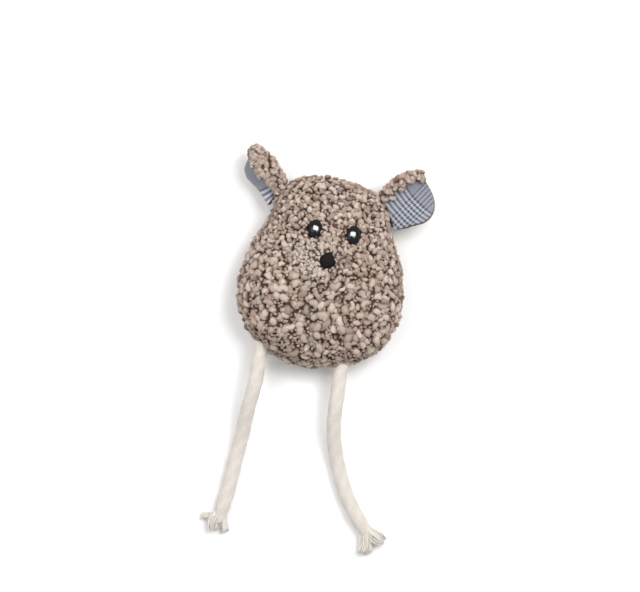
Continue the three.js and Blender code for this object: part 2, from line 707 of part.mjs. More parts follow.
function addLeg(name, leg) {
  const route = placesFrom(legRoot(leg.seamShare), leg.route);
  const outward = route[1].clone().sub(route[0]).normalize();
  const hipEnd = route[0].clone().addScaledVector(outward, hipLength);
  addPiece(`${name}_leg_root`, jointedTube(new THREE.LineCurve3(route[0], hipEnd), 1), finishes.rope);

  const path = new THREE.CatmullRomCurve3(route.slice(1), false, 'centripetal');
  const steps = Math.ceil(path.getLength() / ropeStep);
  addPiece(`${name}_leg_rope`, jointedTube(path, steps), finishes.rope);

  const end = path.getPoint(1);
  const ahead = path.getTangent(1);
  const level = new THREE.Vector3(0, 0, 1).cross(ahead).normalize();
  leg.strands.forEach((strand, index) => {
    const angle = Math.PI * (7 / 6 + index * 2 / 3);
    const start = end.clone().addScaledVector(ahead, contactGap);
    start.addScaledVector(level, Math.cos(angle) * strandSpreadShare * ropeDiameter);
    start.z += Math.sin(angle) * strandSpreadShare * ropeDiameter;
    const lead = start.clone().addScaledVector(ahead, strandDiameter);
    const shape = strandShape([start, lead, ...placesFrom(end, strand.route)], strand.bloom);
    addPiece(`${name}_foot_strand_${index + 1}`, shape, finishes.rope);
  });
}

addBody();
addSeamThread();
addSachet();
addEar('left', ears.left);
addEar('right', ears.right);
addLeg('left', legs.left);
addLeg('right', legs.right);

export default toy;
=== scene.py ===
import json
import math
import random

import bmesh
import bpy
import numpy as np
from mathutils import Euler, Matrix, Vector, noise
from mathutils.bvhtree import BVHTree

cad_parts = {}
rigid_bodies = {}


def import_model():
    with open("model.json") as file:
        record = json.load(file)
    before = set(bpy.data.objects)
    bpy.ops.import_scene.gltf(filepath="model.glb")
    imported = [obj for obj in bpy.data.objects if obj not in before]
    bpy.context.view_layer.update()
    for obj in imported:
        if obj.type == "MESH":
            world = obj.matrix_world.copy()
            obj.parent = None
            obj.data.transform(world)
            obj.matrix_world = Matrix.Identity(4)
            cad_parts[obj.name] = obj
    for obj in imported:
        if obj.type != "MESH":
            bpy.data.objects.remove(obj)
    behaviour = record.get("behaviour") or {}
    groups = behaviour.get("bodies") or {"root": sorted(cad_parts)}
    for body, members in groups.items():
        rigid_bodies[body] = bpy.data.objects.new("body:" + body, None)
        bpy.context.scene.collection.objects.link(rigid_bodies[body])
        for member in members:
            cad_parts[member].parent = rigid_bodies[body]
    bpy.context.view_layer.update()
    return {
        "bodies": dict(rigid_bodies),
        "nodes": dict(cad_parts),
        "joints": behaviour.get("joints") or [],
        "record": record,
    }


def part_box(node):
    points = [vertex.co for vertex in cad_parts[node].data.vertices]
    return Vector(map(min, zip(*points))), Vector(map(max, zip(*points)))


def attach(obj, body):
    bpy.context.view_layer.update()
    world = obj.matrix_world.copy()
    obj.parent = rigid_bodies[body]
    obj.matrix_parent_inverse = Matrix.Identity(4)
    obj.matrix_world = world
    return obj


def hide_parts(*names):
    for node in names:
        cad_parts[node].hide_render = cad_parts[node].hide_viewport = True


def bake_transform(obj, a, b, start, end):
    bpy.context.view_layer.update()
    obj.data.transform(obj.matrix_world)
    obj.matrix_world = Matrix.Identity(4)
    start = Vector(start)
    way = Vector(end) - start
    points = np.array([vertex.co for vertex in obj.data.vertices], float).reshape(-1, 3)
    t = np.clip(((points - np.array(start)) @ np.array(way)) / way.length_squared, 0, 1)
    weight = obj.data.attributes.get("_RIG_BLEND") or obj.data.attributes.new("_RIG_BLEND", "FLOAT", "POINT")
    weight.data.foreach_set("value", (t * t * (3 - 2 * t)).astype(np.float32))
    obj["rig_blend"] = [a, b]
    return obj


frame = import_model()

# A stuffed mouse of curly pile fabric that lies on its back: ears in a woven check, plastic face, rope legs.
# Metres, +Z up, the head towards +Y, left and right are the viewer's.

mm = 0.001
nodes = frame["nodes"]


# Materials

def linear(red, green, blue):
    # a colour as seen on a screen, from 0 to 1, made linear for a shader
    return [((c + 0.055) / 1.055) ** 2.4 if c > 0.04 else c / 12.92 for c in (red, green, blue)] + [1]


class Socket:
    # an output of a node, so that shader maths is written as plain sums
    def __init__(self, paint, link):
        self.paint = paint
        self.link = link

    def sum(self, operation, first, second):
        return self.paint.node("ShaderNodeMath", {"operation": operation}, {0: first, 1: second})

    def __add__(self, other):
        return self.sum("ADD", self, other)

    def __radd__(self, other):
        return self.sum("ADD", other, self)

    def __sub__(self, other):
        return self.sum("SUBTRACT", self, other)

    def __rsub__(self, other):
        return self.sum("SUBTRACT", other, self)

    def __mul__(self, other):
        return self.sum("MULTIPLY", self, other)

    def __rmul__(self, other):
        return self.sum("MULTIPLY", other, self)

    def __truediv__(self, other):
        return self.sum("DIVIDE", self, other)

    def __lt__(self, other):
        return self.sum("LESS_THAN", self, other)


class Paint:
    # a material, or the world, and its nodes
    def __init__(self, name, owners=bpy.data.materials, shader="Principled BSDF", **surface):
        self.material = owners.new(name)
        self.material.use_nodes = True
        self.tree = self.material.node_tree
        self.shader = self.tree.nodes[shader]
        self.set(**surface)

    def set(self, **surface):
        for name, value in surface.items():
            self.feed(self.shader.inputs[name.replace("_", " ")], value)

    def feed(self, socket, value):
        if isinstance(value, Socket):
            self.tree.links.new(value.link, socket)
        else:
            socket.default_value = value

    def node(self, kind, settings=None, inputs=None, output=0):
        made = self.tree.nodes.new(kind)
        for name, value in (settings or {}).items():
            if name == "stops":
                ramp = made.color_ramp
                while len(ramp.elements) < len(value):
                    ramp.elements.new(0.5)
                for element, (place, colour) in zip(ramp.elements, value):
                    element.position = place
                    element.color = colour
            else:
                setattr(made, name, value)
        for name, value in (inputs or {}).items():
            self.feed(made.inputs[name], value)
        return Socket(self, made.outputs[output])

    def attribute(self, name):
        return self.node("ShaderNodeAttribute", {"attribute_name": name}, output="Fac")

    def vector(self, *values):
        return self.node("ShaderNodeCombineXYZ", {}, dict(enumerate(values)))

    def fract(self, value):
        return self.node("ShaderNodeMath", {"operation": "FRACT"}, {0: value})

    def noise(self, scale, detail=2, roughness=0.5, vector=None):
        vector = vector or self.node("ShaderNodeTexCoord", output="Object")
        values = {"Vector": vector, "Scale": scale, "Detail": detail, "Roughness": roughness}
        return self.node("ShaderNodeTexNoise", {}, values)

    def ramp(self, factor, *stops):
        return self.node("ShaderNodeValToRGB", {"stops": stops}, {"Fac": factor})

    def stretch(self, value, low, high):
        return self.node("ShaderNodeMapRange", {}, {"Value": value, "From Min": low, "From Max": high})

    def mix(self, factor, first, second, blend="MIX"):
        settings = {"data_type": "RGBA", "blend_type": blend, "clamp_factor": True}
        return self.node("ShaderNodeMix", settings, {0: factor, 6: first, 7: second}, output=2)

    def bump(self, height, strength, distance):
        values = {"Height": height, "Strength": strength, "Distance": distance}
        return self.node("ShaderNodeBump", {}, values)


def grainPaint(name, dark, light, scale, bumps=None, **surface):
    # two tones mixed by a fine grain, which can stand out too, by a strength and a distance
    paint = Paint(name, **surface)
    grain = paint.noise(scale, 3, 0.6)
    paint.set(Base_Color=paint.mix(grain, dark, light))
    if bumps:
        paint.set(Normal=paint.bump(grain, *bumps))
    return paint.material


# Meshes

def finishPiece(name, bm, material, body=None):
    for face in bm.faces:
        face.smooth = True
    mesh = bpy.data.meshes.new(name)
    bm.to_mesh(mesh)
    bm.free()
    piece = bpy.data.objects.new(name, mesh)
    bpy.context.scene.collection.objects.link(piece)
    mesh.materials.append(material)
    if body:
        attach(piece, body)
    return piece


def tubeRings(bm, sides, count):
    # a tube that is closed at both ends: the corners of each of its rings, and its two caps
    rings = [bmesh.ops.create_circle(bm, cap_ends=True, segments=sides, radius=1)["verts"]]
    caps = [rings[0][0].link_faces[0]]
    edges = caps[0].edges[:]
    for _ in range(count - 1):
        made = bmesh.ops.extrude_edge_only(bm, edges=edges)["geom"]
        edges = [e for e in made if isinstance(e, bmesh.types.BMEdge)]
        rings.append([v for v in made if isinstance(v, bmesh.types.BMVert)])
    caps += bmesh.ops.contextual_create(bm, geom=edges)["faces"]
    return rings, caps


def addValues(bm, *names):
    # names for numbers that each corner carries, mostly for the paint
    return [bm.verts.layers.float.new(name) for name in names]


def standing(place, up):
    # moves a shape to a place and turns its Z to the direction given
    return Matrix.Translation(place) @ up.to_track_quat("Z", "Y").to_matrix().to_4x4()


def settledFaces(bm):
    # each face's corners, in an order that is the same every run, which an operator's own needn't be
    key = lambda vert: vert.co.dot((0.613, 0.371, 0.697))
    faces = []
    for face in bm.faces:
        verts = face.verts[:]
        first = verts.index(min(verts, key=key))
        faces.append(verts[first:] + verts[:first])
    return sorted(faces, key=lambda verts: sorted(key(vert) for vert in verts))


def between(low, high, share):
    return low + (high - low) * share


def smoothShare(value, low, high):
    share = min(max((value - low) / (high - low), 0), 1)
    return share * share * (3 - 2 * share)


def lineDistance(x, y, start, end):
    # from a place to the nearest point of a straight line
    start, end = Vector(start), Vector(end)
    along = (Vector((x, y)) - start).dot(end - start) / (end - start).length_squared
    return (Vector((x, y)) - start - (end - start) * min(max(along, 0), 1)).length


# Camera, straight above the toy, turned so that the toy lies as in the photograph

camera = {
    "aim": (0, -10.3 * mm),
    "turn": 9.5,
    "lens": 300,
    "sensor": 36,
    "viewWidth": 284 * mm,  # seen at the height of the plane
    "plane": 13 * mm,
    "clip": (0.05, 20),
}


def addCamera(s):
    data = bpy.data.cameras.new("camera")
    data.lens = s["lens"]
    data.sensor_width = s["sensor"]
    seen = bpy.data.objects.new("camera", data)
    distance = s["viewWidth"] / s["sensor"] * s["lens"]
    seen.location = (*s["aim"], s["plane"] + distance)
    seen.rotation_euler = (0, 0, math.radians(s["turn"]))
    data.clip_start, data.clip_end = s["clip"]
    bpy.context.scene.collection.objects.link(seen)
    bpy.context.scene.camera = seen


addCamera(camera)
print("camera ready")


# Legs: soft laid cotton rope, sewn in at the seam, whose three strands come apart at the feet

rope = {
    "diameter": 6.8 * mm,
    "pitch": 27 * mm,  # one turn of a strand
    "lobe": 0.05,  # how far the three strands stand out, of the radius
    "sides": 30,
    "step": 0.9 * mm,
    "sewnIn": 7 * mm,  # how far it goes into the pile at the seam
    "runOn": {"left": 2.4 * mm, "right": 1.6 * mm},  # how far it runs on over its loosening strands
    "neck": 0.97,  # of its own radius, where a round end lies inside the next stretch
    "lowest": 0.1 * mm,
    "light": linear(0.862, 0.835, 0.805),
    "shade": linear(0.785, 0.755, 0.72),
    "fleck": linear(0.66, 0.615, 0.57),
    "cream": linear(0.89, 0.87, 0.835),
    "creamShade": linear(0.81, 0.785, 0.745),
}

# Each leg's route from the seam: the end of its hip stretch, then down to the ground and along it
legRoutes = {
    "left": [
        (-21.865, -41.55, 13), (-22.165, -53.25, 13), (-22.565, -57.05, 12.6), (-22.965, -61.05, 11.6),
        (-23.265, -65.05, 10.1), (-23.565, -69.05, 8.3), (-23.865, -73.05, 6.5), (-24.065, -77.05, 5),
        (-24.365, -81.05, 4), (-24.765, -85.05, 3.55), (-25.165, -89.05, 3.4), (-25.465, -93.05, 3.4),
        (-25.765, -97.05, 3.4), (-26.065, -101.05, 3.4), (-26.465, -105.05, 3.4), (-27.065, -109.05, 3.4),
        (-27.665, -112.45, 3.4),
    ],
    "right": [
        (14.497, -43.334, 13), (14.797, -55.034, 13), (14.897, -58.834, 12.6), (15.097, -62.634, 11.5),
        (15.597, -66.534, 10), (16.197, -70.434, 8.3), (17.097, -74.234, 6.5), (18.197, -77.934, 5),
        (19.497, -81.534, 4), (20.897, -85.034, 3.55), (22.397, -88.434, 3.4), (23.997, -91.834, 3.4),
        (25.797, -95.234, 3.4), (27.897, -98.634, 3.4), (30.197, -102.034, 3.4), (32.897, -105.434, 3.4),
        (36.197, -109.234, 3.4),
    ],
}

# The rope's strands past its end, each a bundle of yarns
strand = {
    "yarns": 34,
    "yarn": 0.36 * mm,  # radius of a yarn
    "sides": 6,
    "steps": 8,
    "start": 1.25 * mm,  # radius of the strand in the rope
    "wave": 0.35 * mm,
    "trim": 0.9 * mm,  # how unevenly the yarns are cut
    "close": 0.12,  # how far the bundle closes again towards its cut end
}
# Each strand's route, and half its width and height where it has bloomed
feet = {
    "left": [
        {"route": [(-28.8, -112.4, 3), (-32.2, -114.7, 2.4), (-35.9, -115.3, 2.1)], "half": (1.5, 1.4)},
        {"route": [(-26.6, -111.5, 3), (-25.5, -117, 2.4), (-24.3, -121, 2.1)], "half": (1.35, 1.4)},
        {"route": [(-28, -111.5, 3.8), (-30.2, -117, 3.9), (-29.5, -121, 2.8)], "half": (2.6, 2.1)},
    ],
    "right": [
        {"route": [(35.6, -108.6, 3), (37, -114.8, 2.8), (37.2, -120.4, 2.5)], "half": (1.9, 2)},
        {
            "route": [(37, -107.8, 3.3), (41.4, -111.6, 4.1), (46.1, -113.8, 2.9)],
            "half": (3.3, 2.7),
            "close": 0.7,
        },
        {"route": [(36.2, -108.8, 4), (38.9, -114.6, 3.7), (39.5, -119.8, 2.8)], "half": (1.9, 2)},
    ],
}


def smoothRoute(points, step):
    # even places along a smooth curve through the points
    fine = []
    ends = [points[0] * 2 - points[1], *points, points[-1] * 2 - points[-2]]
    for a, b, c, d in zip(ends, ends[1:], ends[2:], ends[3:]):
        for i in range(24):
            t = i / 24
            fine.append(0.5 * (2 * b + (c - a) * t + (2 * a - 5 * b + 4 * c - d) * t**2
                               + (3 * b - a - 3 * c + d) * t**3))
    fine.append(points[-1])
    reach = np.concatenate([[0], np.cumsum([(q - p).length for p, q in zip(fine, fine[1:])])])
    count = round(reach[-1] / step)
    even = np.linspace(0, reach[-1], count + 1)
    axes = [np.interp(even, reach, [p[i] for p in fine]) for i in range(3)]
    return [Vector(p) for p in zip(*axes)], reach[-1]


def ropePaint(name, light, shade):
    paint = Paint(name, Roughness=0.95, Specular_IOR_Level=0.05, Sheen_Weight=0.2, Sheen_Roughness=0.5)
    around = paint.attribute("around")
    along = paint.attribute("along")
    valley = paint.attribute("valley")
    # yarns run aslant along each strand
    fibres = paint.noise(3, 4, 0.65, paint.vector(around * 9 + along * 420, along * 60, valley))
    soft = paint.noise(900, 3, 0.6)
    patch = paint.noise(160, 2, 0.5)
    colour = paint.mix(paint.stretch(fibres, 0.35, 0.75), light, shade)
    # the grooves between the strands are painted darker: painted shade
    colour = paint.mix(valley * 0.45, colour, shade)
    fleck = paint.stretch(patch * soft, 0.37, 0.46)
    colour = paint.mix(fleck * 0.3, colour, rope["fleck"])
    height = fibres * 0.6 + soft * 0.4
    paint.set(Base_Color=colour, Normal=paint.bump(height, 0.45, 0.3 * mm))
    return paint.material


def ropeRadius(turn, reach, length):
    # three low lobes that turn with the lay, a little uneven, drawn in where the strands come loose
    s = rope
    phase = 3 * (turn - 2 * math.pi * reach / s["pitch"])
    seed = Vector((math.cos(turn), math.sin(turn), reach * 260))
    rough = noise.fractal(seed * 1.4, 0.8, 2, 3) * 0.03 + noise.noise(seed * 0.5 + Vector((9, 3, 1))) * 0.03
    lobe = s["lobe"] * (0.5 * math.cos(phase) + 0.5 * abs(math.cos(phase / 2)) - 0.25)
    loose = smoothShare(length - reach, 0, 5 * mm)
    # the second value is how deep in a groove between the strands a place lies, which the paint darkens as painted
    # shade
    return s["diameter"] / 2 * (0.96 + lobe + rough) * (0.78 + 0.22 * loose), (1 - math.cos(phase)) / 2


def addStretch(name, frames, length, material, roundStart, roundEnd):
    # one stretch of rope, drawn ring by ring; a round end closes to a half ball
    s = rope
    bm = bmesh.new()
    around, along, valley = addValues(bm, "around", "along", "valley")
    sections = [(*frame, 1) for frame in frames]
    leans = [math.radians(a) for a in (15, 30, 45, 60, 75, 88)]
    for at, rounded, towards in ((0, roundStart, -1), (-1, roundEnd, 1)):
        place, sideways, up, reach = frames[at]
        if rounded:
            out = sideways.cross(up) * towards * s["neck"] * s["diameter"] / 2
            ball = [(place + out * math.sin(a), sideways, up, reach, math.cos(a) * s["neck"]) for a in leans]
            sections = ball[::-1] + sections if at == 0 else sections + ball
    rings, caps = tubeRings(bm, s["sides"], len(sections))
    for (place, sideways, up, reach, narrow), ring in zip(sections, rings):
        for k, vert in enumerate(ring):
            turn = 2 * math.pi * k / len(ring)
            radius, groove = ropeRadius(turn, reach, length)
            vert.co = place + (sideways * math.cos(turn) + up * math.sin(turn)) * radius * narrow
            vert.co.z = max(vert.co.z, s["lowest"])
            vert[around], vert[along], vert[valley] = turn / (2 * math.pi), reach, groove
    for cap in caps:
        for edge in cap.edges:
            edge.smooth = False
    bmesh.ops.recalc_face_normals(bm, faces=bm.faces)
    return finishPiece(name, bm, material)


def ropeFrames(route):
    # each place's two directions across the rope, carried along it without twist, and its reach
    frames = []
    sideways, reach = Vector((1, 0, 0)), 0
    for i, place in enumerate(route):
        ahead = (route[min(i + 1, len(route) - 1)] - route[max(i - 1, 0)]).normalized()
        sideways = (sideways - ahead * sideways.dot(ahead)).normalized()
        reach += (place - route[max(i - 1, 0)]).length
        frames.append((place, sideways, ahead.cross(sideways), reach))
    return frames


def addStrand(name, s, material, body, seed):
    # a loosened strand, a bundle of soft yarns that part towards their cut ends
    rng = random.Random(seed)
    middle, length = smoothRoute([Vector(p) * mm for p in s["route"]], 0.5 * mm)
    bm = bmesh.new()
    around, along, valley = addValues(bm, "around", "along", "valley")
    for index in range(strand["yarns"]):
        spread = math.sqrt((index + 0.5) / strand["yarns"])
        angle = index * 2.39996 + rng.uniform(-0.3, 0.3)
        reach = 1 - rng.uniform(0, 1) ** 2 * strand["trim"] / length
        wave = [rng.uniform(0, 6.28) for _ in range(2)]
        rings, _ = tubeRings(bm, strand["sides"], strand["steps"] + 1)
        for i, ring in enumerate(rings):
            share = i / strand["steps"] * reach
            at = share * (len(middle) - 1)
            low = min(int(at), len(middle) - 2)
            place = middle[low].lerp(middle[low + 1], at - low)
            ahead = (middle[low + 1] - middle[low]).normalized()
            sideways = ahead.cross(Vector((0, 0, 1))).normalized()
            up = sideways.cross(ahead)
            closed = s.get("close", strand["close"]) * smoothShare(share, 0.7, 1)
            bloom = smoothShare(share, 0.05, 0.65) * (1 - closed)
            wide, high = (strand["start"] + (half * mm - strand["start"]) * bloom for half in s["half"])
            sway = [strand["wave"] * share * math.sin(7 * share + w) for w in wave]
            place = place + sideways * (math.cos(angle) * spread * wide + sway[0])
            place = place + up * (math.sin(angle) * spread * high + sway[1])
            # a yarn is a little uneven, and thinner towards its cut end
            swell = strand["yarn"] * (1.15 - 0.3 * share + 0.25 * math.sin(9 * share + wave[0]))
            swell *= 0.45 if i == strand["steps"] else 1
            for k, vert in enumerate(ring):
                turn = 2 * math.pi * k / len(ring)
                vert.co = place + (sideways * math.cos(turn) + up * math.sin(turn)) * swell
                vert.co.z = max(vert.co.z, rope["lowest"])
                vert[around] = index * 0.37 + k / len(ring) * 0.2
                vert[along] = share * length
                # yarns inside the bundle are painted darker, each by a random amount: painted shade
                vert[valley] = rng.uniform(0, 0.6) * (1 - spread * 0.6)
    bmesh.ops.recalc_face_normals(bm, faces=bm.faces)
    return finishPiece(name, bm, material, body)


ropeMaterial = ropePaint("cottonRope", rope["light"], rope["shade"])
strandMaterial = ropePaint("cottonStrand", rope["cream"], rope["creamShade"])
for side in legRoutes:
    points = [Vector(p) * mm for p in legRoutes[side]]
    runOn = (points[-1] - points[-2]).normalized() * rope["runOn"][side]
    route, length = smoothRoute([*points, points[-1] + runOn], rope["step"])
    hip, knee = points[0], points[1]
    towards = (knee - hip).normalized()
    sewnIn, step = rope["sewnIn"], rope["step"]
    root = [hip - towards * (sewnIn - step * i) for i in range(math.ceil(sewnIn / step))]
    frames = ropeFrames([*root, *route])
    frames = [(*frame[:3], frame[3] - sewnIn) for frame in frames]
    sewn = addStretch(f"{side}LegRoot", frames[:len(root) + 1], length, ropeMaterial, False, True)
    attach(sewn, "torso")
    piece = addStretch(f"{side}LegRope", frames[len(root):], length, ropeMaterial, True, True)
    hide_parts(f"{side}_leg_root", f"{side}_leg_rope")
    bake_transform(piece, f"{side}_hip", f"{side}_leg", start=knee - towards * 4 * mm, end=knee + towards * 4 * mm)
    for i, s in enumerate(feet[side], 1):
        tuft = addStrand(f"{side}FootStrand{i}", s, strandMaterial, f"{side}_leg", 50 + i)
        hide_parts(f"{side}_foot_strand_{i}")
    print(side, "leg rope", round(length / mm, 1), "mm")


# Body: a front and a back panel of knitted backing, under a pile of short curls

plush = {
    "seam": 13 * mm,
    "front": {"side": 1, "rise": 20 * mm, "square": 2.3, "slim": 0.12},
    "back": {"side": -1, "rise": 13.5 * mm, "square": 3.2, "slim": 0},
    "snout": {"at": (0.8 * mm, 6.1 * mm), "rise": 2.6 * mm, "reach": 11 * mm},
    "pile": 2.5 * mm,
    "facePile": 1.3 * mm,
    "face": {"at": (1.2 * mm, 11 * mm), "inner": 6 * mm, "outer": 15 * mm},
    "crease": {
        "from": (-24 * mm, -31.5 * mm),
        "to": (20 * mm, -33.5 * mm),
        "sag": 1.5 * mm,  # how far it wavers
        "depth": 0.9 * mm,
        "width": 2.2 * mm,
    },
    "wall": 0.6 * mm,
    "gap": 0.15 * mm,  # from the seam to either panel
    "sides": (120, 64),
    "lowest": 0.15 * mm,  # where the pile lies flat on the ground
}
bodyWidth, bodyLength = (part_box("front_panel")[1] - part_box("front_panel")[0]).xy


def seamRadius():
    # how far the seam lies from the middle in each direction, a smooth line through the frame's outline
    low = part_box("front_panel")[0].z
    rim = np.array([v.co for v in nodes["front_panel"].data.vertices if v.co.z < low + 0.05 * mm])
    angles = np.arctan2(rim[:, 1], rim[:, 0])
    reach = np.hypot(rim[:, 0], rim[:, 1])
    outer = [i for i in range(len(rim)) if reach[i] > reach[np.cos(angles - angles[i]) > 0.99].max() - 2 * mm]
    waves = np.arange(1, 11)
    rows = lambda a: np.hstack([np.ones((len(a), 1)), np.cos(np.outer(a, waves)), np.sin(np.outer(a, waves))])
    shape = np.linalg.lstsq(rows(angles[outer]), reach[outer], rcond=None)[0]
    table = np.linspace(-math.pi, math.pi, 721)
    values = rows(table) @ shape
    return lambda angle: float(np.interp(angle, table, values))


seamAt = seamRadius()


def pileAt(x, y, side):
    # how high the pile stands at a place on the front or the back
    s = plush
    if side < 0:
        return s["pile"]
    away = math.hypot(x - s["face"]["at"][0], (y - s["face"]["at"][1]) * 0.9)
    share = smoothShare(away, s["face"]["inner"], s["face"]["outer"])
    return between(s["facePile"], s["pile"], share)


def creaseAt(x, y):
    # how near a place is to the fold across the bottom of the front, 1 on it
    s = plush["crease"]
    start, end = Vector(s["from"]), Vector(s["to"])
    along = (Vector((x, y)) - start).dot(end - start) / (end - start).length_squared
    nearest = start + (end - start) * min(max(along, 0), 1)
    sag = s["sag"] * math.sin(9 * along)
    away = (Vector((x, y + sag)) - nearest).length / s["width"]
    return math.exp(-away * away)


def bodyPlace(angle, share, panel, depth):
    # a place on the body at a share of the way from its middle to the seam, and a depth under the pile's top
    s = plush
    x = math.cos(angle) * seamAt(angle) * share * (1 - 2 * depth / bodyWidth)
    y = math.sin(angle) * seamAt(angle) * share * (1 - 2 * depth / bodyLength)
    dome = (1 - min(share, 1) ** panel["square"]) ** (1 / panel["square"])
    z = (panel["rise"] - depth) * dome * (1 - panel["slim"] * y / (bodyLength / 2))
    if panel["side"] > 0:
        away = math.hypot(x - s["snout"]["at"][0], y - s["snout"]["at"][1]) / s["snout"]["reach"]
        z += s["snout"]["rise"] * math.exp(-away * away) * (1 - share**2)
        z -= s["crease"]["depth"] * creaseAt(x, y) * min(z / (6 * mm), 1)
    return Vector((x, y, s["seam"] + panel["side"] * (z + s["gap"])))


def addPanel(name, panel, node, material):
    bm = bmesh.new()
    around, rows = plush["sides"]
    bmesh.ops.create_uvsphere(bm, u_segments=around, v_segments=rows, radius=1)
    geometry = bm.verts[:] + bm.edges[:] + bm.faces[:]
    bmesh.ops.bisect_plane(bm, geom=geometry, plane_co=(0, 0, 0), plane_no=(0, 0, panel["side"]),
                           clear_inner=True)
    for vert in bm.verts:
        angle = math.atan2(vert.co.y, vert.co.x)
        share = min(math.hypot(vert.co.x, vert.co.y), 1)
        place = bodyPlace(angle, share, panel, plush["pile"])
        depth = pileAt(place.x, place.y, panel["side"])
        vert.co = Vector((place.x, place.y, bodyPlace(angle, share, panel, depth).z))
    bmesh.ops.recalc_face_normals(bm, faces=bm.faces)
    if sum(face.normal.z * face.calc_area() for face in bm.faces) * panel["side"] < 0:
        bmesh.ops.reverse_faces(bm, faces=bm.faces)
    surface = surfaceOf(bm)
    bmesh.ops.solidify(bm, geom=bm.faces[:], thickness=plush["wall"])
    piece = finishPiece(name, bm, material, "torso")
    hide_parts(node)
    return surface


# Pile: curls that stand on a surface, each a short bent tube

def surfaceOf(bm):
    # the triangles of a surface and their corners' normals, kept for scattering
    bm.normal_update()
    corners, normals = [], []
    for verts in settledFaces(bm):
        for a, b in zip(verts[1:], verts[2:]):
            corners.append([v.co[:] for v in (verts[0], a, b)])
            normals.append([v.normal[:] for v in (verts[0], a, b)])
    return np.array(corners), np.array(normals)


def scatter(surface, spacingAt, seed):
    # places spread evenly over a surface, no two nearer than the spacing there
    corners, normals = surface
    rng = np.random.default_rng(seed)
    area = np.linalg.norm(np.cross(corners[:, 1] - corners[:, 0], corners[:, 2] - corners[:, 0]), axis=1) / 2
    count = int(area.sum() / (0.5 * mm) ** 2)  # tries, many to each place that is kept
    pick = rng.choice(len(area), count, p=area / area.sum())
    u, v = rng.random((2, count, 1))
    u, v = np.where(u + v > 1, 1 - u, u), np.where(u + v > 1, 1 - v, v)
    spread = lambda c: c[pick, 0] + u * (c[pick, 1] - c[pick, 0]) + v * (c[pick, 2] - c[pick, 0])
    cell = 2.6 * mm  # of the grid that finds a place's neighbours
    kept = {}
    chosen = []
    for place, up in zip(spread(corners).tolist(), spread(normals).tolist()):
        spacing = spacingAt(place)
        if not spacing:
            continue
        x, y, z = place
        i, j, k = int(x // cell), int(y // cell), int(z // cell)
        if all(
            (x - a) ** 2 + (y - b) ** 2 + (z - c) ** 2 > spacing * spacing
            for di in (-1, 0, 1) for dj in (-1, 0, 1) for dk in (-1, 0, 1)
            for a, b, c in kept.get((i + di, j + dj, k + dk), ())
        ):
            kept.setdefault((i, j, k), []).append(place)
            chosen.append((Vector(place), Vector(up).normalized()))
    return chosen


# The top layer's curls are what is seen; smaller ones fill the gaps below them
curls = {
    "top": {
        "sides": 9,
        "steps": 8,
        "kinds": 30,
        "thickness": (1.1 * mm, 1.6 * mm),  # radius of the tube
        "loop": (0.45 * mm, 0.9 * mm),  # radius of its bend
        "turn": (90, 260),
    },
    "under": {
        "sides": 6,
        "steps": 4,
        "kinds": 12,
        "thickness": (0.85 * mm, 1.25 * mm),
        "loop": (0.5 * mm, 0.9 * mm),
        "turn": (120, 240),
    },
}
growth = {
    "drift": (0.05, 0.28),  # how far a curl runs aside at each bend, in mm
    "swell": (0.9, 1.12),  # how unevenly it swells, ring by ring and corner by corner
    "rough": (0.93, 1.08),
    "tip": 0.4,  # how far its ends stand out, of its radius
    "size": (0.8, 1.18),  # how unevenly curls are sized and stand up
    "height": (0.88, 1.22),
    "lean": (0, 85),  # how far they lean one way and the other
    "aside": (-30, 30),
    "root": 0.4 * mm,  # how far they go down into the backing
}


def curlKinds(s, rng):
    kinds = []
    for _ in range(s["kinds"]):
        thickness = rng.uniform(*s["thickness"])
        loop = rng.uniform(*s["loop"])
        turn = math.radians(rng.uniform(*s["turn"]))
        bm = bmesh.new()
        around, along = addValues(bm, "around", "along")
        bmesh.ops.create_circle(bm, cap_ends=True, segments=s["sides"], radius=thickness)
        drift = rng.uniform(*growth["drift"]) * mm
        start = bm.faces[:]
        made = bmesh.ops.spin(bm, geom=start, cent=(loop, 0, 0), axis=(0, 1, 0), dvec=(0, drift, 0),
                              angle=turn, steps=s["steps"])
        rings = [start[0].verts[:]]
        seen = set(rings[0])
        for _ in range(s["steps"]):  # each corner is followed from ring to ring
            ring = []
            for vert in rings[-1]:
                ring.append(next(v for e in vert.link_edges for v in e.verts if v not in seen))
            rings.append(ring)
            seen.update(ring)
        for i, ring in enumerate(rings):
            share = i / s["steps"]
            middle = sum((v.co for v in ring), Vector()) / len(ring)
            # thinner at both ends
            swell = (0.5 + 0.55 * math.sin(math.pi * (0.1 + 0.8 * share))) * rng.uniform(*growth["swell"])
            for k, vert in enumerate(ring):
                vert.co = middle + (vert.co - middle) * swell * rng.uniform(*growth["rough"])
                vert[around] = k / s["sides"]
                vert[along] = share
        bmesh.ops.recalc_face_normals(bm, faces=bm.faces)
        if bm.calc_volume(signed=True) < 0:
            bmesh.ops.reverse_faces(bm, faces=bm.faces)
        end = [g for g in made["geom_last"] if isinstance(g, bmesh.types.BMFace)]
        for share, cap in enumerate((start, end)):
            outward = cap[0].normal.copy()
            tip = bmesh.ops.poke(bm, faces=cap)["verts"][0]
            tip.co += outward * thickness * growth["tip"]
            tip[along] = share
        bm.normal_update()
        mesh = bpy.data.meshes.new("curlKind")
        bm.to_mesh(mesh)
        bm.free()
        kinds.append(mesh)
    return kinds


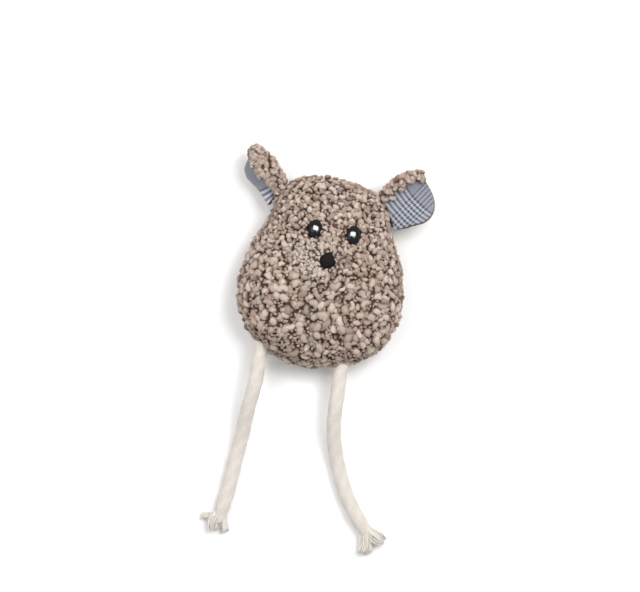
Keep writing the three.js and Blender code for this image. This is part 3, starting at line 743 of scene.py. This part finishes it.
def growPile(name, places, sizeAt, heightAt, body, seed, kind="top", shades=(0, 1), flank=0,
             shortAt=lambda place: 0, paleAt=lambda place: 0, dimAt=lambda place: 0):
    s = growth
    rng = random.Random(seed)
    kinds = curlKinds(curls[kind], rng)
    bm = bmesh.new()
    addValues(bm, "around", "along", "tip", "crown", "shade", "short", "pale")
    for place, up in places:
        size = sizeAt(place) * rng.uniform(*s["size"])
        height = heightAt(place) * rng.uniform(*s["height"])
        copy = rng.choice(kinds).copy()
        lean = math.radians(rng.uniform(*s["lean"])) * rng.choice((-1, 1))
        tilt = Euler((lean, math.radians(rng.uniform(*s["aside"])), 0))
        turn = Matrix.Rotation(rng.uniform(0, 2 * math.pi), 4, "Z")
        copy.transform(turn @ tilt.to_matrix().to_4x4() @ Matrix.Scale(size, 4))
        coordinates = np.zeros(len(copy.vertices) * 3)
        normals = np.zeros(len(copy.vertices) * 3)
        copy.vertices.foreach_get("co", coordinates)
        copy.vertices.foreach_get("normal", normals)
        heights = coordinates[2::3]
        heights += height - heights.max()
        # tip is how high a corner stands and crown how far it faces up, both for the paint's painted shade; flank
        # is the least of each, which lightens that painted shade
        values = {
            "tip": between(flank, 1, np.clip(heights / height, 0, 1)),
            "crown": between(flank, 1, normals[2::3]),
            "shade": np.full(len(heights), rng.uniform(*shades) * (1 - dimAt(place))),
            "short": np.full(len(heights), shortAt(place)),
            "pale": np.full(len(heights), paleAt(place)),
        }
        for key, value in values.items():
            copy.attributes.new(key, "FLOAT", "POINT").data.foreach_set("value", value)
        np.maximum(heights, -s["root"], out=heights)
        copy.vertices.foreach_set("co", coordinates)
        copy.transform(standing(place, up))
        bm.from_mesh(copy)
        bpy.data.meshes.remove(copy)
    for vert in bm.verts:
        vert.co.z = max(vert.co.z, plush["lowest"])
    for mesh in kinds:
        bpy.data.meshes.remove(mesh)
    piece = finishPiece(name, bm, pile, body)
    print(name, len(places), "curls", sum(len(p.vertices) - 2 for p in piece.data.polygons), "triangles")


def pilePaint():
    # each curl gets painted light at its crown and painted shade down its flanks, brown at its root, which is
    # partly the curl's own darker base and partly painted shade low in the pile, and paler where the pile is short
    paint = Paint("curlyPile", Roughness=1, Specular_IOR_Level=0.03, Sheen_Weight=0.15, Sheen_Roughness=0.5)
    shade = paint.attribute("shade")
    short = paint.attribute("short")
    strands = paint.vector(paint.attribute("around") * 7, paint.attribute("along") * 3, shade * 40)
    fibre = paint.noise(1.6, 4, 0.7, strands)
    fluff = paint.noise(1500, 3, 0.65)
    tone = paint.ramp(
        shade,
        (0.0, linear(0.59, 0.52, 0.475)),
        (0.3, linear(0.67, 0.605, 0.56)),
        (0.65, linear(0.725, 0.66, 0.615)),
        (1.0, linear(0.785, 0.73, 0.69)),
    )
    tint = paint.ramp(
        paint.fract(shade * 17.3),
        (0.0, linear(1.0, 0.975, 0.97)),
        (0.4, linear(1.0, 0.995, 1.0)),
        (0.7, linear(1.0, 1.0, 0.985)),
        (1.0, linear(0.975, 1.0, 0.98)),
    )
    tone = paint.mix(1, tone, tint, "MULTIPLY")
    muzzle = paint.mix(fluff, linear(0.72, 0.665, 0.62), linear(0.82, 0.775, 0.73))
    tone = paint.mix(short * 0.75, tone, muzzle)
    # the root's dark brown is partly the curl's own darker base and partly painted shade deep in the pile
    root = paint.mix(short, linear(0.33, 0.24, 0.195), linear(0.64, 0.58, 0.535))
    # the colour a curl's flank darkens by: painted shade
    flankShade = paint.mix(short, linear(0.72, 0.65, 0.605), linear(0.86, 0.83, 0.81))
    flank = paint.mix(1, tone, flankShade, "MULTIPLY")
    # painted shade: where a curl turns away from facing up it falls to the shaded flank colour, and low in the
    # pile it falls to the root colour
    crown = paint.stretch(paint.attribute("crown") + (fibre - 0.5) * 0.4 + (fluff - 0.5) * 0.5, -0.05, 0.8)
    depth = paint.stretch(paint.attribute("tip") + (fluff - 0.5) * 0.3, 0.2, 0.68)
    colour = paint.mix(depth, root, paint.mix(crown, flank, tone))
    colour = paint.mix(paint.attribute("pale"), colour, linear(0.80, 0.775, 0.77))
    paint.set(Base_Color=colour, Normal=paint.bump(fibre * 0.6 + fluff * 0.4, 0.5, 0.3 * mm))
    return paint.material


knit = {"scale": 1400, "bumps": (0.6, 0.4 * mm), "Roughness": 1, "Specular_IOR_Level": 0.1}
backing = grainPaint("pileBacking", linear(0.27, 0.195, 0.155), linear(0.42, 0.335, 0.285), **knit)
# the ears' backing is painted lighter than the body's, the colour of pile in shade, where it shows between the
# curls
earBacking = grainPaint("earBacking", linear(0.33, 0.25, 0.205), linear(0.46, 0.375, 0.325), **knit)
pile = pilePaint()
frontSurface = addPanel("frontPanel", plush["front"], "front_panel", backing)
backSurface = addPanel("backPanel", plush["back"], "back_panel", backing)

nap = {
    "clear": {"left_eye": 1.15 * mm, "right_eye": 1.1 * mm, "nose": 1.6 * mm},  # the pile parts round these
    "underClear": 0.1,  # of that
    "short": {"at": (-5.3 * mm, 6.6 * mm), "inner": 5 * mm, "outer": 11.5 * mm},
    "dim": {"at": (6.6 * mm, 7.6 * mm), "reach": 3.6 * mm},  # the shaded pile beside the nose
    "muzzleSpacing": 1.15 * mm,
    "headSpacing": 2.05 * mm,
    "bellySpacing": 2.9 * mm,
    "muzzleSize": 0.6,
    "headSize": 1.02,
    "bellySize": 1.42,
    "underSpacing": 1.35 * mm,
    "underMuzzleSpacing": 1.1 * mm,
    "underSize": 0.72,
    "underHeight": 0.6,  # of the pile's height
    "backSpacing": 2.35 * mm,
    "backSize": 1.14,
    "sideSpacing": 1.4 * mm,  # the back's under layer, which only its wall above this height has
    "sideFrom": 2 * mm,
    "sideSize": 0.85,
    "nearSpacing": 1.05 * mm,  # beside an eye or the nose, and how it widens away from them
    "nearSpread": 0.5,
    "nearSize": 0.5,
    "nearGrowth": 1.9 * mm,
    "parted": 0.5,  # no curl of the top layer stands nearer to a parting than this, where 1 is on it
    "underParted": 0.85,
    "split": 2 * mm,  # the head's pile and the belly's meet at this height
    "least": 0.6 * mm,  # how high a curl stands at least
    "over": 0.45 * mm,  # how far the curls stand out past the frame's own uneven front
    "hem": 3 * mm,  # the pile along the lowest edge is painted paler and short-looking, this far in from the seam
}


def linesOf(*rows):
    # each line's two ends and how wide it is, given in millimetres
    return [{"from": (a * mm, b * mm), "to": (c * mm, d * mm), "width": w * mm} for a, b, c, d, w in rows]


# Where the pile round the muzzle lies parted, and where it shows a pale streak
partings = linesOf((-5, 15, -5.1, 10.2, 1.7), (-5.1, 10.2, -3.6, 8.7, 1.1), (-7.9, 6.3, -4.4, 5.1, 1.3))
paleStreaks = linesOf((-5.4, 8, -3.1, 6.2, 0.7), (-3.1, 6.2, -1.7, 2.2, 1), (-1.7, 2.2, 0.8, 0.9, 0.7))


def shortPile(x, y):
    # 1 on the muzzle's short pile, 0 where the pile is long
    s = nap["short"]
    away = math.hypot((x - s["at"][0]) * 0.85, y - s["at"][1])
    return 1 - smoothShare(away, s["inner"], s["outer"])


def lineAt(lines, x, y):
    # how near a place is to one of these lines, 1 on it
    return max(math.exp(-(lineDistance(x, y, s["from"], s["to"]) / s["width"]) ** 2) for s in lines)


def nodeTree(name):
    mesh = nodes[name].data
    return BVHTree.FromPolygons([v.co[:] for v in mesh.vertices], [p.vertices[:] for p in mesh.polygons])


frontTree = nodeTree("front_panel")
faceTrees = [(nodeTree(name), clear) for name, clear in nap["clear"].items()]


def frontRoom(place, share=1):
    # how far a place lies outside the clearing round the eyes and the nose
    return min(tree.find_nearest(Vector(place))[3] - clear * share for tree, clear in faceTrees)


def lower(y):
    # 0 on the head, 1 at the bottom of the belly
    return smoothShare(-y, -15 * mm, 25 * mm)


def frontSpacing(place):
    x, y = place[:2]
    room = frontRoom(place)
    if room < 0 or lineAt(partings, x, y) > nap["parted"]:
        return None
    long = between(nap["headSpacing"], nap["bellySpacing"], lower(y))
    near = nap["nearSpacing"] + room * nap["nearSpread"]
    return min(between(long, nap["muzzleSpacing"], shortPile(x, y)), near)


def frontSize(place):
    x, y = place[:2]
    long = between(nap["headSize"], nap["bellySize"], lower(y))
    size = between(long, nap["muzzleSize"], shortPile(x, y)) * (1 - 0.25 * creaseAt(x, y))
    size *= 1 - 0.3 * lineAt(partings, x, y)
    return min(size, nap["nearSize"] + frontRoom(place) / nap["nearGrowth"])


def frontHeights(places):
    # how high the curls stand at each place, so that they follow the frame's own uneven front
    heights = {}
    for place, up in places:
        x, y = place[:2]
        reach = frontTree.ray_cast(place + up * 0.05 * mm, up, 5 * mm)[3]
        pileHere = pileAt(x, y, 1)
        reach = pileHere * 0.6 if reach is None else min(reach + nap["over"], pileHere * 1.15)
        low = 1 - 0.5 * max(creaseAt(x, y), lineAt(partings, x, y))
        room = smoothShare(frontRoom(place), 0, 2 * mm)
        height = (0.35 * pileHere + 0.65 * reach) * low * (0.75 + 0.25 * room)
        heights[tuple(place)] = max(height, nap["least"])
    return lambda place: heights[tuple(place)]


def frontShort(place):
    # how short and pale the pile looks, on the muzzle and along the lowest edge
    x, y = place[:2]
    edge = (1 - math.hypot(x, y) / seamAt(math.atan2(y, x))) * bodyWidth / 2
    hem = (1 - smoothShare(edge, nap["hem"] * 0.3, nap["hem"])) * smoothShare(-y, 20 * mm, 34 * mm)
    return max(shortPile(x, y), 0.7 * hem)


def underSpacing(place):
    if frontRoom(place, nap["underClear"]) < 0 or lineAt(partings, *place[:2]) > nap["underParted"]:
        return None
    return between(nap["underSpacing"], nap["underMuzzleSpacing"], shortPile(*place[:2]))


def frontPale(place):
    return lineAt(paleStreaks, *place[:2])


def frontDim(place):
    # how shaded it looks, beside the nose and in the partings
    away = math.dist(place[:2], nap["dim"]["at"]) / nap["dim"]["reach"]
    return 0.9 * max(math.exp(-away * away), lineAt(partings, *place[:2]))


frontPlaces = scatter(frontSurface, frontSpacing, 11)
frontHeight = frontHeights(frontPlaces)
faceLooks = {"shortAt": frontShort, "paleAt": frontPale, "dimAt": frontDim}
headPlaces = [p for p in frontPlaces if p[0].y > nap["split"]]
bellyPlaces = [p for p in frontPlaces if p[0].y <= nap["split"]]
growPile("headPile", headPlaces, frontSize, frontHeight, "torso", 21, **faceLooks)
growPile("bellyPile", bellyPlaces, frontSize, frontHeight, "torso", 22, **faceLooks)

underPlaces = scatter(frontSurface, underSpacing, 13)
underSize = lambda place: nap["underSize"] * (1 - 0.1 * frontShort(place))
underHeight = lambda place: pileAt(place[0], place[1], 1) * nap["underHeight"]
# the under curls take only the darker tones: painted shade low in the pile
growPile("underPile", underPlaces, underSize, underHeight, "torso", 24, "under", (0, 0.45), **faceLooks)

backPlaces = scatter(backSurface, lambda place: nap["backSpacing"], 12)
growPile("backPile", backPlaces, lambda place: nap["backSize"], lambda place: plush["pile"], "torso", 23)

sideSpacing = lambda place: nap["sideSpacing"] if place[2] > nap["sideFrom"] else None
sidePlaces = scatter(backSurface, sideSpacing, 14)
sideHeight = lambda place: plush["pile"] * nap["underHeight"]
# so do the back's under curls: darker tones, painted shade low in the pile
growPile("sidePile", sidePlaces, lambda place: nap["sideSize"], sideHeight, "torso", 25, "under", (0, 0.6))


# Ears: curly outside, woven check inside, cupped about a fold and sewn in at the seam

ear = {
    "length": 21.2 * mm,
    "width": 23.6 * mm,
    "shoulder": 11.5 * mm,
    "baseWidth": 16 * mm,
    "half": 0.15 * mm,  # from the middle surface to either cloth
    "backWall": 0.6 * mm,
    "liningWall": 0.4 * mm,
    "pile": 2.4 * mm,
    "pileSpacing": 1.2 * mm,
    "rimSpacing": 1.3 * mm,
    "hem": 0.15 * mm,  # how far the lining stays inside the outside's edge
    "bareGap": 1.1 * mm,  # how far the pile stays from a rim that shows bare
    "bareSize": 0.48,  # its size there, and what it gains by this far from the rim
    "gain": (0.42, 2.8 * mm),
    "rise": (1.2 * mm, 4 * mm),  # how far from it the pile begins to stand up, and stands fully
    "parted": 0.5,
    "splay": 3 * mm,  # how far in from the rim its curls lean outwards
    "rimLeans": (-45, 5, 50),  # of the curls that stand in a row along the rim
    "stripes": (-1.95 * mm, 1.75 * mm),  # the check's, each a dark and a light one
    "rows": 26,
    "columns": 40,
}
ears = {
    "left": {
        "angle": 130,
        "seat": (-25.549 * mm, 33.330 * mm, 13 * mm),
        "opening": 90,
        "fold": -0.28,
        "cup": 4.6 * mm,
        "pinch": 1.7 * mm,
        "setBack": 2.6 * mm,
        "slope": -0.38,
        "bare": (0.22, 1),  # where along the rim, from -1 to 1, no pile shows past the lining
        "covered": (-1, 0.16),  # where it stands out round the rim
        "lapped": (-0.25, 0.05),  # where it laps over the lining's edge
        "lap": (2.3 * mm, 2.8 * mm),  # and how far, at the tip and at the side
        "tuck": 0,  # how far the lining's own edge lies in under it
        "trim": (0.38, 0.35, 0.075),  # where the rim is cut in, how widely and by what share
        "partings": linesOf((-33.5, 45.3, -31.6, 41, 1.2), (-28, 38, -28.4, 34.3, 1.2)),
        # the tone makes this ear's check lighter: painted light
        "weave": {"turn": 99.4, "corner": (4 * mm, 5.3 * mm), "tone": 1.16},
    },
    "right": {
        "angle": 36,
        "seat": (23.955 * mm, 31.099 * mm, 13 * mm),
        "opening": 0,
        "fold": 0,
        "cup": 15 * mm,
        "pinch": 40 * mm,
        "setBack": 0,
        "slope": 0.13,
        "bare": (-1, 0.3),
        "covered": (0.38, 1),
        "lapped": (0.42, 1),
        "lap": (1.6 * mm, 4.6 * mm),
        "tuck": 3 * mm,
        "trim": (0.6, 0.3, -0.09),
        "partings": linesOf((25.2, 44.6, 25, 43.4, 1)),
        # the tone makes this ear's check a little darker: painted shade
        "weave": {"turn": 69.5, "corner": (2.45 * mm, 12.9 * mm), "tone": 0.96},
    },
}


def earFlat(u, v):
    # the ear before it is bent, across and along, from its root (u 0) to its rim (u 1)
    s = ear
    rimAngle = v * math.pi / 2
    across = s["baseWidth"] / 2 * v * (1 - u) + s["width"] / 2 * math.sin(rimAngle) * u
    return across, (s["shoulder"] + (s["length"] - s["shoulder"]) * math.cos(rimAngle)) * u


def earPoint(shape, u, v):
    angle, opening = math.radians(shape["angle"]), math.radians(shape["opening"])
    along = Vector((math.cos(angle), math.sin(angle), 0))
    sideways = Vector((-along.y, along.x, 0))
    upwards = Vector((0, 0, 1))
    acrossAxis = sideways * math.cos(opening) - upwards * math.sin(opening)
    opens = upwards * math.cos(opening) + sideways * math.sin(opening)
    at, spread, share = shape["trim"]
    flat, reach = earFlat(u * (1 - share * math.exp(-((v - at) / spread) ** 2)), v)
    radius = between(shape["pinch"], shape["cup"], smoothShare(u, 0, 0.6))
    fromFold = flat - shape["fold"] * ear["width"] / 2
    turn = min(max(fromFold / radius, -math.pi / 2), math.pi / 2)
    straight = fromFold - turn * radius
    across = radius * math.sin(turn) + straight * math.cos(turn)
    depth = radius * (1 - math.cos(turn)) + straight * math.sin(turn)
    depth -= shape["setBack"] * (1 - smoothShare(reach / ear["length"], 0.6, 1))
    slant = shape["slope"] * (depth if opening else across) * (1 - u)
    return Vector(shape["seat"]) + along * (reach + slant) + acrossAxis * across + opens * depth


def earNormal(shape, u, v):
    d = 0.004
    low, high = max(u - d, 0), min(u + d, 1)
    left, right = max(v - d, -1), min(v + d, 1)
    alongStep = earPoint(shape, high, v) - earPoint(shape, low, v)
    acrossStep = earPoint(shape, u, right) - earPoint(shape, u, left)
    return alongStep.cross(acrossStep).normalized()


def earSheet(shape, offset, hem=0, tuck=0):
    # a grid over the ear at an offset from its middle surface, with the flat cloth's own coordinates
    s = ear
    bm = bmesh.new()
    across, along, rim, side = addValues(bm, "across", "along", "rim", "side")
    bmesh.ops.create_grid(bm, x_segments=s["columns"], y_segments=s["rows"], size=1)
    for vert in bm.verts:
        v, u = vert.co.x, (vert.co.y + 1) / 2
        cut = hem + tuck * smoothShare(v, shape["bare"][1] - 0.1, shape["bare"][1] + 0.25)
        u *= 1 - cut / s["length"]
        v *= 1 - cut / (s["width"] / 2) * 0.5
        vert[across], vert[along] = earFlat(u, v)
        vert[rim], vert[side] = u, v
        vert.co = earPoint(shape, u, v) + earNormal(shape, u, v) * offset
    return bm


def flatArea(bm):
    # the area of the cloth before it is bent
    across, along = (bm.verts.layers.float[key] for key in ("across", "along"))
    total = 0
    for face in bm.faces:
        p = [(v[across], v[along]) for v in face.verts]
        total += abs(sum(a[0] * b[1] - b[0] * a[1] for a, b in zip(p, p[1:] + p[:1]))) / 2
    return total


def rimPoints(shape, low, high):
    # places along the ear's rim and, where it reaches that far, down its side
    points = [earPoint(shape, 1, v) for v in np.linspace(low, high, 40)]
    for v in (-1, 1):
        if low <= v <= high:
            points += [earPoint(shape, u, v) for u in np.linspace(0.1, 1, 20)]
    return np.array(points)


def distanceTo(points, place):
    return float(np.linalg.norm(points - np.array(place), axis=1).min())


def earPileSurface(shape):
    # where the ear's curls stand: the outside, and the lining's edge where the pile laps over it
    covered, lapped = rimPoints(shape, *shape["covered"]), rimPoints(shape, *shape["lapped"])
    corners, normals = [], []
    middle = earPoint(shape, 0.45, 0)
    for front in (False, True):
        bm = earSheet(shape, ear["half"] if front else -ear["half"] - ear["backWall"] * 0.5)
        rim, side = (bm.verts.layers.float[key] for key in ("rim", "side"))
        for verts in settledFaces(bm):
            middleHere = sum((v.co for v in verts), Vector()) / len(verts)
            lap = between(*shape["lap"], smoothShare(abs(verts[0][side]), 0.45, 0.85))
            if front and distanceTo(lapped, middleHere) > lap:
                continue
            away = distanceTo(covered, middleHere)
            ups = []
            for vert in verts:
                up = earNormal(shape, vert[rim], vert[side]) * (1 if front else -1)
                outward = vert.co - middle
                outward = (outward - up * outward.dot(up)).normalized()
                ups.append((up + outward * max(0, 1 - away / ear["splay"])).normalized())
            for i, j in zip(range(1, len(verts)), range(2, len(verts))):
                corners.append([verts[k].co[:] for k in (0, i, j)])
                normals.append([ups[k][:] for k in (0, i, j)])
        bm.free()
    return np.array(corners), np.array(normals)


def rimPlaces(shape, rng):
    # more curls in rows along the covered rim, which stand out from it at different slants
    low, high = shape["covered"]
    end = 1 if high == 1 else -1
    rim = [(1, v) for v in np.linspace(low, high, 60)] + [(u, end) for u in np.linspace(0.98, 0.15, 40)]
    middle = earPoint(shape, 0.45, 0)
    places = []
    last = None
    for u, v in rim:
        place, normal = earPoint(shape, u, v), earNormal(shape, u, v)
        if last is not None and (place - last).length < ear["rimSpacing"]:
            continue
        last = place
        outward = (place - middle).normalized()
        for lean in ear["rimLeans"]:
            turn = math.radians(lean + rng.uniform(-20, 20))
            places.append((place, (outward * math.cos(turn) + normal * math.sin(turn)).normalized()))
    return places


def addEarPile(side, shape, body):
    bare = rimPoints(shape, *shape["bare"])
    gain, grown = ear["gain"]
    parting = lambda place: lineAt(shape["partings"], *place[:2])

    def spacing(place):
        if distanceTo(bare, place) < ear["bareGap"] or parting(place) > ear["parted"]:
            return None
        return ear["pileSpacing"]
    fromBare = lambda place, low, high: smoothShare(distanceTo(bare, place), low, high)
    size = lambda place: ear["bareSize"] + gain * fromBare(place, ear["bareGap"], grown)
    height = lambda place: ear["pile"] * (0.5 + 0.5 * fromBare(place, *ear["rise"]))
    places = [*scatter(earPileSurface(shape), spacing, 31), *rimPlaces(shape, random.Random(33))]
    # on the ears flank lightens the curls' painted shade, and the pile in the partings is painted darker: painted
    # shade
    growPile(f"{side}EarPile", places, size, height, body, 32, shades=(0, 0.85), flank=0.25,
             dimAt=lambda place: 0.8 * parting(place))


def checkPaint(side, weave):
    # a glen check: bands of bold dark and light stripes cross plain ones, in a twill
    paint = Paint(f"{side}CheckCotton", Roughness=0.9, Specular_IOR_Level=0.2, Sheen_Weight=0.15)
    turn = math.radians(weave["turn"])
    x = paint.attribute("across") - weave["corner"][0]
    y = paint.attribute("along") - weave["corner"][1]
    p = (x * math.cos(turn) + y * math.sin(turn)) / ear["stripes"][0]
    q = (y * math.cos(turn) - x * math.sin(turn)) / ear["stripes"][1]
    # each ear's copy of the one cloth is scaled by its tone, lighter on the left ear and darker on the right:
    # painted light and shade
    withPaintedLight = lambda *colour: linear(*(weave["tone"] * value for value in colour))
    slate, pale = withPaintedLight(0.50, 0.51, 0.55), withPaintedLight(0.555, 0.56, 0.595)
    yarns = []
    for place, stripes, navy, white in (
        (p, 8, withPaintedLight(0.10, 0.11, 0.16), withPaintedLight(0.77, 0.79, 0.83)),
        (q, 6, withPaintedLight(0.22, 0.24, 0.29), withPaintedLight(0.62, 0.63, 0.67)),
    ):
        bold = paint.fract(place / (2 * stripes)) < 0.5
        dark = paint.fract(place) < 0.5
        thin = paint.fract(place * 2) < 0.5
        yarns.append(paint.mix(bold, paint.mix(thin, pale, slate), paint.mix(dark, white, navy)))
    over = paint.fract((p + q) * 2) < 0.5
    colour = paint.mix(over, yarns[0], yarns[1])
    thread = paint.node("ShaderNodeMath", {"operation": "SINE"}, {0: (p - q) * 16 * math.pi})
    grain = paint.noise(2500, 2, 0.6)
    colour = paint.mix(grain * 0.2, colour, linear(0.53, 0.53, 0.58))
    paint.set(Base_Color=colour, Normal=paint.bump(thread * 0.3 + over * 0.4 + grain * 0.5, 0.35, 0.12 * mm))
    return paint.material


for side, shape in ears.items():
    body = f"{side}_ear"
    bm = earSheet(shape, -ear["half"])
    bmesh.ops.reverse_faces(bm, faces=bm.faces)
    bmesh.ops.solidify(bm, geom=bm.faces[:], thickness=ear["backWall"])
    bmesh.ops.recalc_face_normals(bm, faces=bm.faces)
    back = finishPiece(f"{side}EarBack", bm, earBacking, body)
    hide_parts(f"{side}_ear_back")
    addEarPile(side, shape, body)

    bm = earSheet(shape, ear["half"], ear["hem"], shape["tuck"])
    area = flatArea(bm)
    bmesh.ops.solidify(bm, geom=bm.faces[:], thickness=ear["liningWall"])
    bmesh.ops.recalc_face_normals(bm, faces=bm.faces)
    lining = finishPiece(f"{side}EarLining", bm, checkPaint(side, shape["weave"]), body)
    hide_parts(f"{side}_ear_lining")
    print(side, "ear, lining", round(area * 1e6), "square mm")


# Eyes and nose: plastic, seated on the front square to it

domes = {
    "leftEye": {"at": (-7 * mm, 19 * mm), "node": "left_eye"},
    "rightEye": {"at": (9.9 * mm, 19 * mm), "node": "right_eye"},
}
dome = {
    "radii": (3.7 * mm, 4.75 * mm),
    "rise": 3.6 * mm,
    "square": 2.4,
    "skirt": [(0, -1.2 * mm), (0.45, -1.2 * mm), (0.8, -0.9 * mm), (0.97, -0.2 * mm)],
    "sides": 64,
    "seat": 3 * mm,  # how deep it sits in the pile
    "splay": 0.2,  # how far it turns to its side with the front
}


def seatOnFront(x, y, depth, splay=1):
    # where a face piece sits, and the turn that stands it square to the front, or less turned to its side
    def surface(px, py):
        angle = math.atan2(py, px)
        share = math.hypot(px, py) / seamAt(angle)
        return bodyPlace(angle, share, plush["front"], 0)
    step = 0.2 * mm
    outward = (surface(x + step, y) - surface(x - step, y)).cross(surface(x, y + step) - surface(x, y - step))
    outward.normalize()
    outward.x *= splay
    outward.normalize()
    return standing(surface(x, y) - outward * depth, outward)


def addDome(name, s, material):
    # a shallow dome with a short skirt, spun from its profile
    bm = bmesh.new()
    power = 2 / dome["square"]
    profile = dome["skirt"][:]
    for lean in np.linspace(0.02, 1.55, 20):
        profile.append((math.cos(lean) ** power, dome["rise"] * math.sin(lean) ** power))
    verts = [bm.verts.new((x, 0, z)) for x, z in [*profile, (0, dome["rise"])]]
    edges = [bm.edges.new(pair) for pair in zip(verts, verts[1:])]
    bmesh.ops.spin(bm, geom=verts + edges, cent=(0, 0, 0), axis=(0, 0, 1), angle=2 * math.pi,
                   steps=dome["sides"], use_merge=True)
    bmesh.ops.remove_doubles(bm, verts=bm.verts, dist=0.001 * mm)
    bmesh.ops.scale(bm, verts=bm.verts, vec=(*dome["radii"], 1))
    bmesh.ops.transform(bm, matrix=seatOnFront(*s["at"], dome["seat"], dome["splay"]), verts=bm.verts)
    bmesh.ops.recalc_face_normals(bm, faces=bm.faces)
    piece = finishPiece(name, bm, material, "torso")
    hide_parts(s["node"])


gloss = Paint("glossEye", Base_Color=linear(0.04, 0.05, 0.055), Roughness=0.12, Specular_IOR_Level=0.2)
for name, s in domes.items():
    addDome(name, s, gloss.material)

nose = {
    "at": (1 * mm, 5.75 * mm),
    "corners": [(0.2, 4), (2.5, 3), (3.9, 0.4), (2.8, -2.1), (0.1, -4), (-2, -2.1), (-3.6, 0.5), (-1.8, 2.7)],
    "skirt": (0.8, -1 * mm),
    "rise": 3.6 * mm,
    "seat": 1.6 * mm,
    "rings": 12,
}


def addNose(s, material):
    # a rounded outline that swells to a low dome, drawn up ring by ring
    corners = [Vector((*c, 0)) * mm for c in s["corners"]]
    outline = smoothRoute([*corners, corners[0]], 0.4 * mm)[0][:-1]
    rings = [s["skirt"]]
    for lean in np.linspace(0, math.radians(84), s["rings"]):
        rings.append((math.cos(lean) ** 0.8, s["rise"] * math.sin(lean) ** 0.9))
    bm = bmesh.new()
    made, caps = tubeRings(bm, len(outline), len(rings))
    for (width, height), ring in zip(rings, made):
        for place, vert in zip(outline, ring):
            vert.co = (place.x * width, place.y * width, height)
    bmesh.ops.poke(bm, faces=caps[1:])["verts"][0].co.z = s["rise"]
    bmesh.ops.transform(bm, matrix=seatOnFront(*s["at"], s["seat"]), verts=bm.verts)
    bmesh.ops.recalc_face_normals(bm, faces=bm.faces)
    piece = finishPiece("noseButton", bm, material, "torso")
    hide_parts("nose")


matt = {"scale": 2600, "bumps": (0.35, 0.12 * mm), "Roughness": 0.9, "Specular_IOR_Level": 0.03}
addNose(nose, grainPaint("mattNose", linear(0.07, 0.065, 0.065), linear(0.145, 0.13, 0.12), **matt))
print("eyes and nose ready")


# What is inside the toy keeps the frame's own solids

inside = {
    "wadding": {
        "nodes": ("front_filling", "back_filling"),
        "light": (0.94, 0.93, 0.90),
        "dark": (0.86, 0.85, 0.82),
    },
    "seamThread": {"nodes": ("seam_thread",), "light": (0.62, 0.53, 0.46), "dark": (0.45, 0.37, 0.31)},
    "muslin": {
        "nodes": ("sachet_front", "sachet_back"),
        "light": (0.91, 0.88, 0.80),
        "dark": (0.80, 0.76, 0.67),
    },
    "driedLeaves": {"nodes": ("dried_catnip",), "light": (0.52, 0.55, 0.33), "dark": (0.32, 0.34, 0.18)},
    "washerPlastic": {
        "nodes": ("left_eye_washer", "right_eye_washer", "nose_washer"),
        "light": (0.90, 0.90, 0.88),
        "dark": (0.84, 0.84, 0.82),
        "roughness": 0.45,
    },
}
for name, s in inside.items():
    tones = linear(*s["dark"]), linear(*s["light"])
    material = grainPaint(name, *tones, 900, Roughness=s.get("roughness", 1), Specular_IOR_Level=0.3)
    for node in s["nodes"]:
        nodes[node].data.materials.clear()
        nodes[node].data.materials.append(material)


# Stage and light

stage = {"floor": linear(0.985, 0.985, 0.985), "size": 6, "gap": 0.2 * mm, "worldLight": 0.5}


def addStage(s):
    paint = Paint("floor", Base_Color=s["floor"], Roughness=1, Specular_IOR_Level=0)
    bm = bmesh.new()
    bmesh.ops.create_grid(bm, x_segments=1, y_segments=1, size=s["size"])
    bmesh.ops.translate(bm, verts=bm.verts, vec=(0, 0, -s["gap"]))
    finishPiece("floor", bm, paint.material)

    # white where it is seen, straight or in a gloss, and softer where it lights the toy
    world = Paint("studio", bpy.data.worlds, "Background", Color=(1, 1, 1, 1))
    bpy.context.scene.world = world.material
    seen = world.node("ShaderNodeLightPath", output="Is Camera Ray")
    for ray in ("Is Glossy Ray", "Is Transmission Ray"):
        seen = seen.sum("MAXIMUM", seen, world.node("ShaderNodeLightPath", output=ray))
    strength = {"Value": seen, "To Min": s["worldLight"], "To Max": 1}
    world.set(Strength=world.node("ShaderNodeMapRange", {}, strength))


lamps = {
    "key": {"at": (0.35, 0.35, 0.9), "size": (0.5, 0.5), "power": 7.5},
    "fill": {"at": (-0.5, 0.2, 0.8), "size": (0.6, 0.6), "power": 3.5},
    # a gloss that shows in the eyes alone
    "highlight": {"at": (0.02, 0.29, 0.49), "size": (0.4, 0.2), "power": 15, "diffuse": False},
}


def addLamps():
    for name, s in lamps.items():
        data = bpy.data.lights.new(name, "AREA")
        data.energy = s["power"]
        data.shape = "RECTANGLE"
        data.size, data.size_y = s["size"]
        lamp = bpy.data.objects.new(name, data)
        lamp.location = s["at"]
        lamp.rotation_euler = (Vector((0, 0, 0)) - lamp.location).to_track_quat("-Z", "Y").to_euler()
        lamp.visible_diffuse = s.get("diffuse", True)
        bpy.context.scene.collection.objects.link(lamp)


addStage(stage)
addLamps()
bpy.context.scene.view_settings.view_transform = "Standard"
print("stage and light ready")
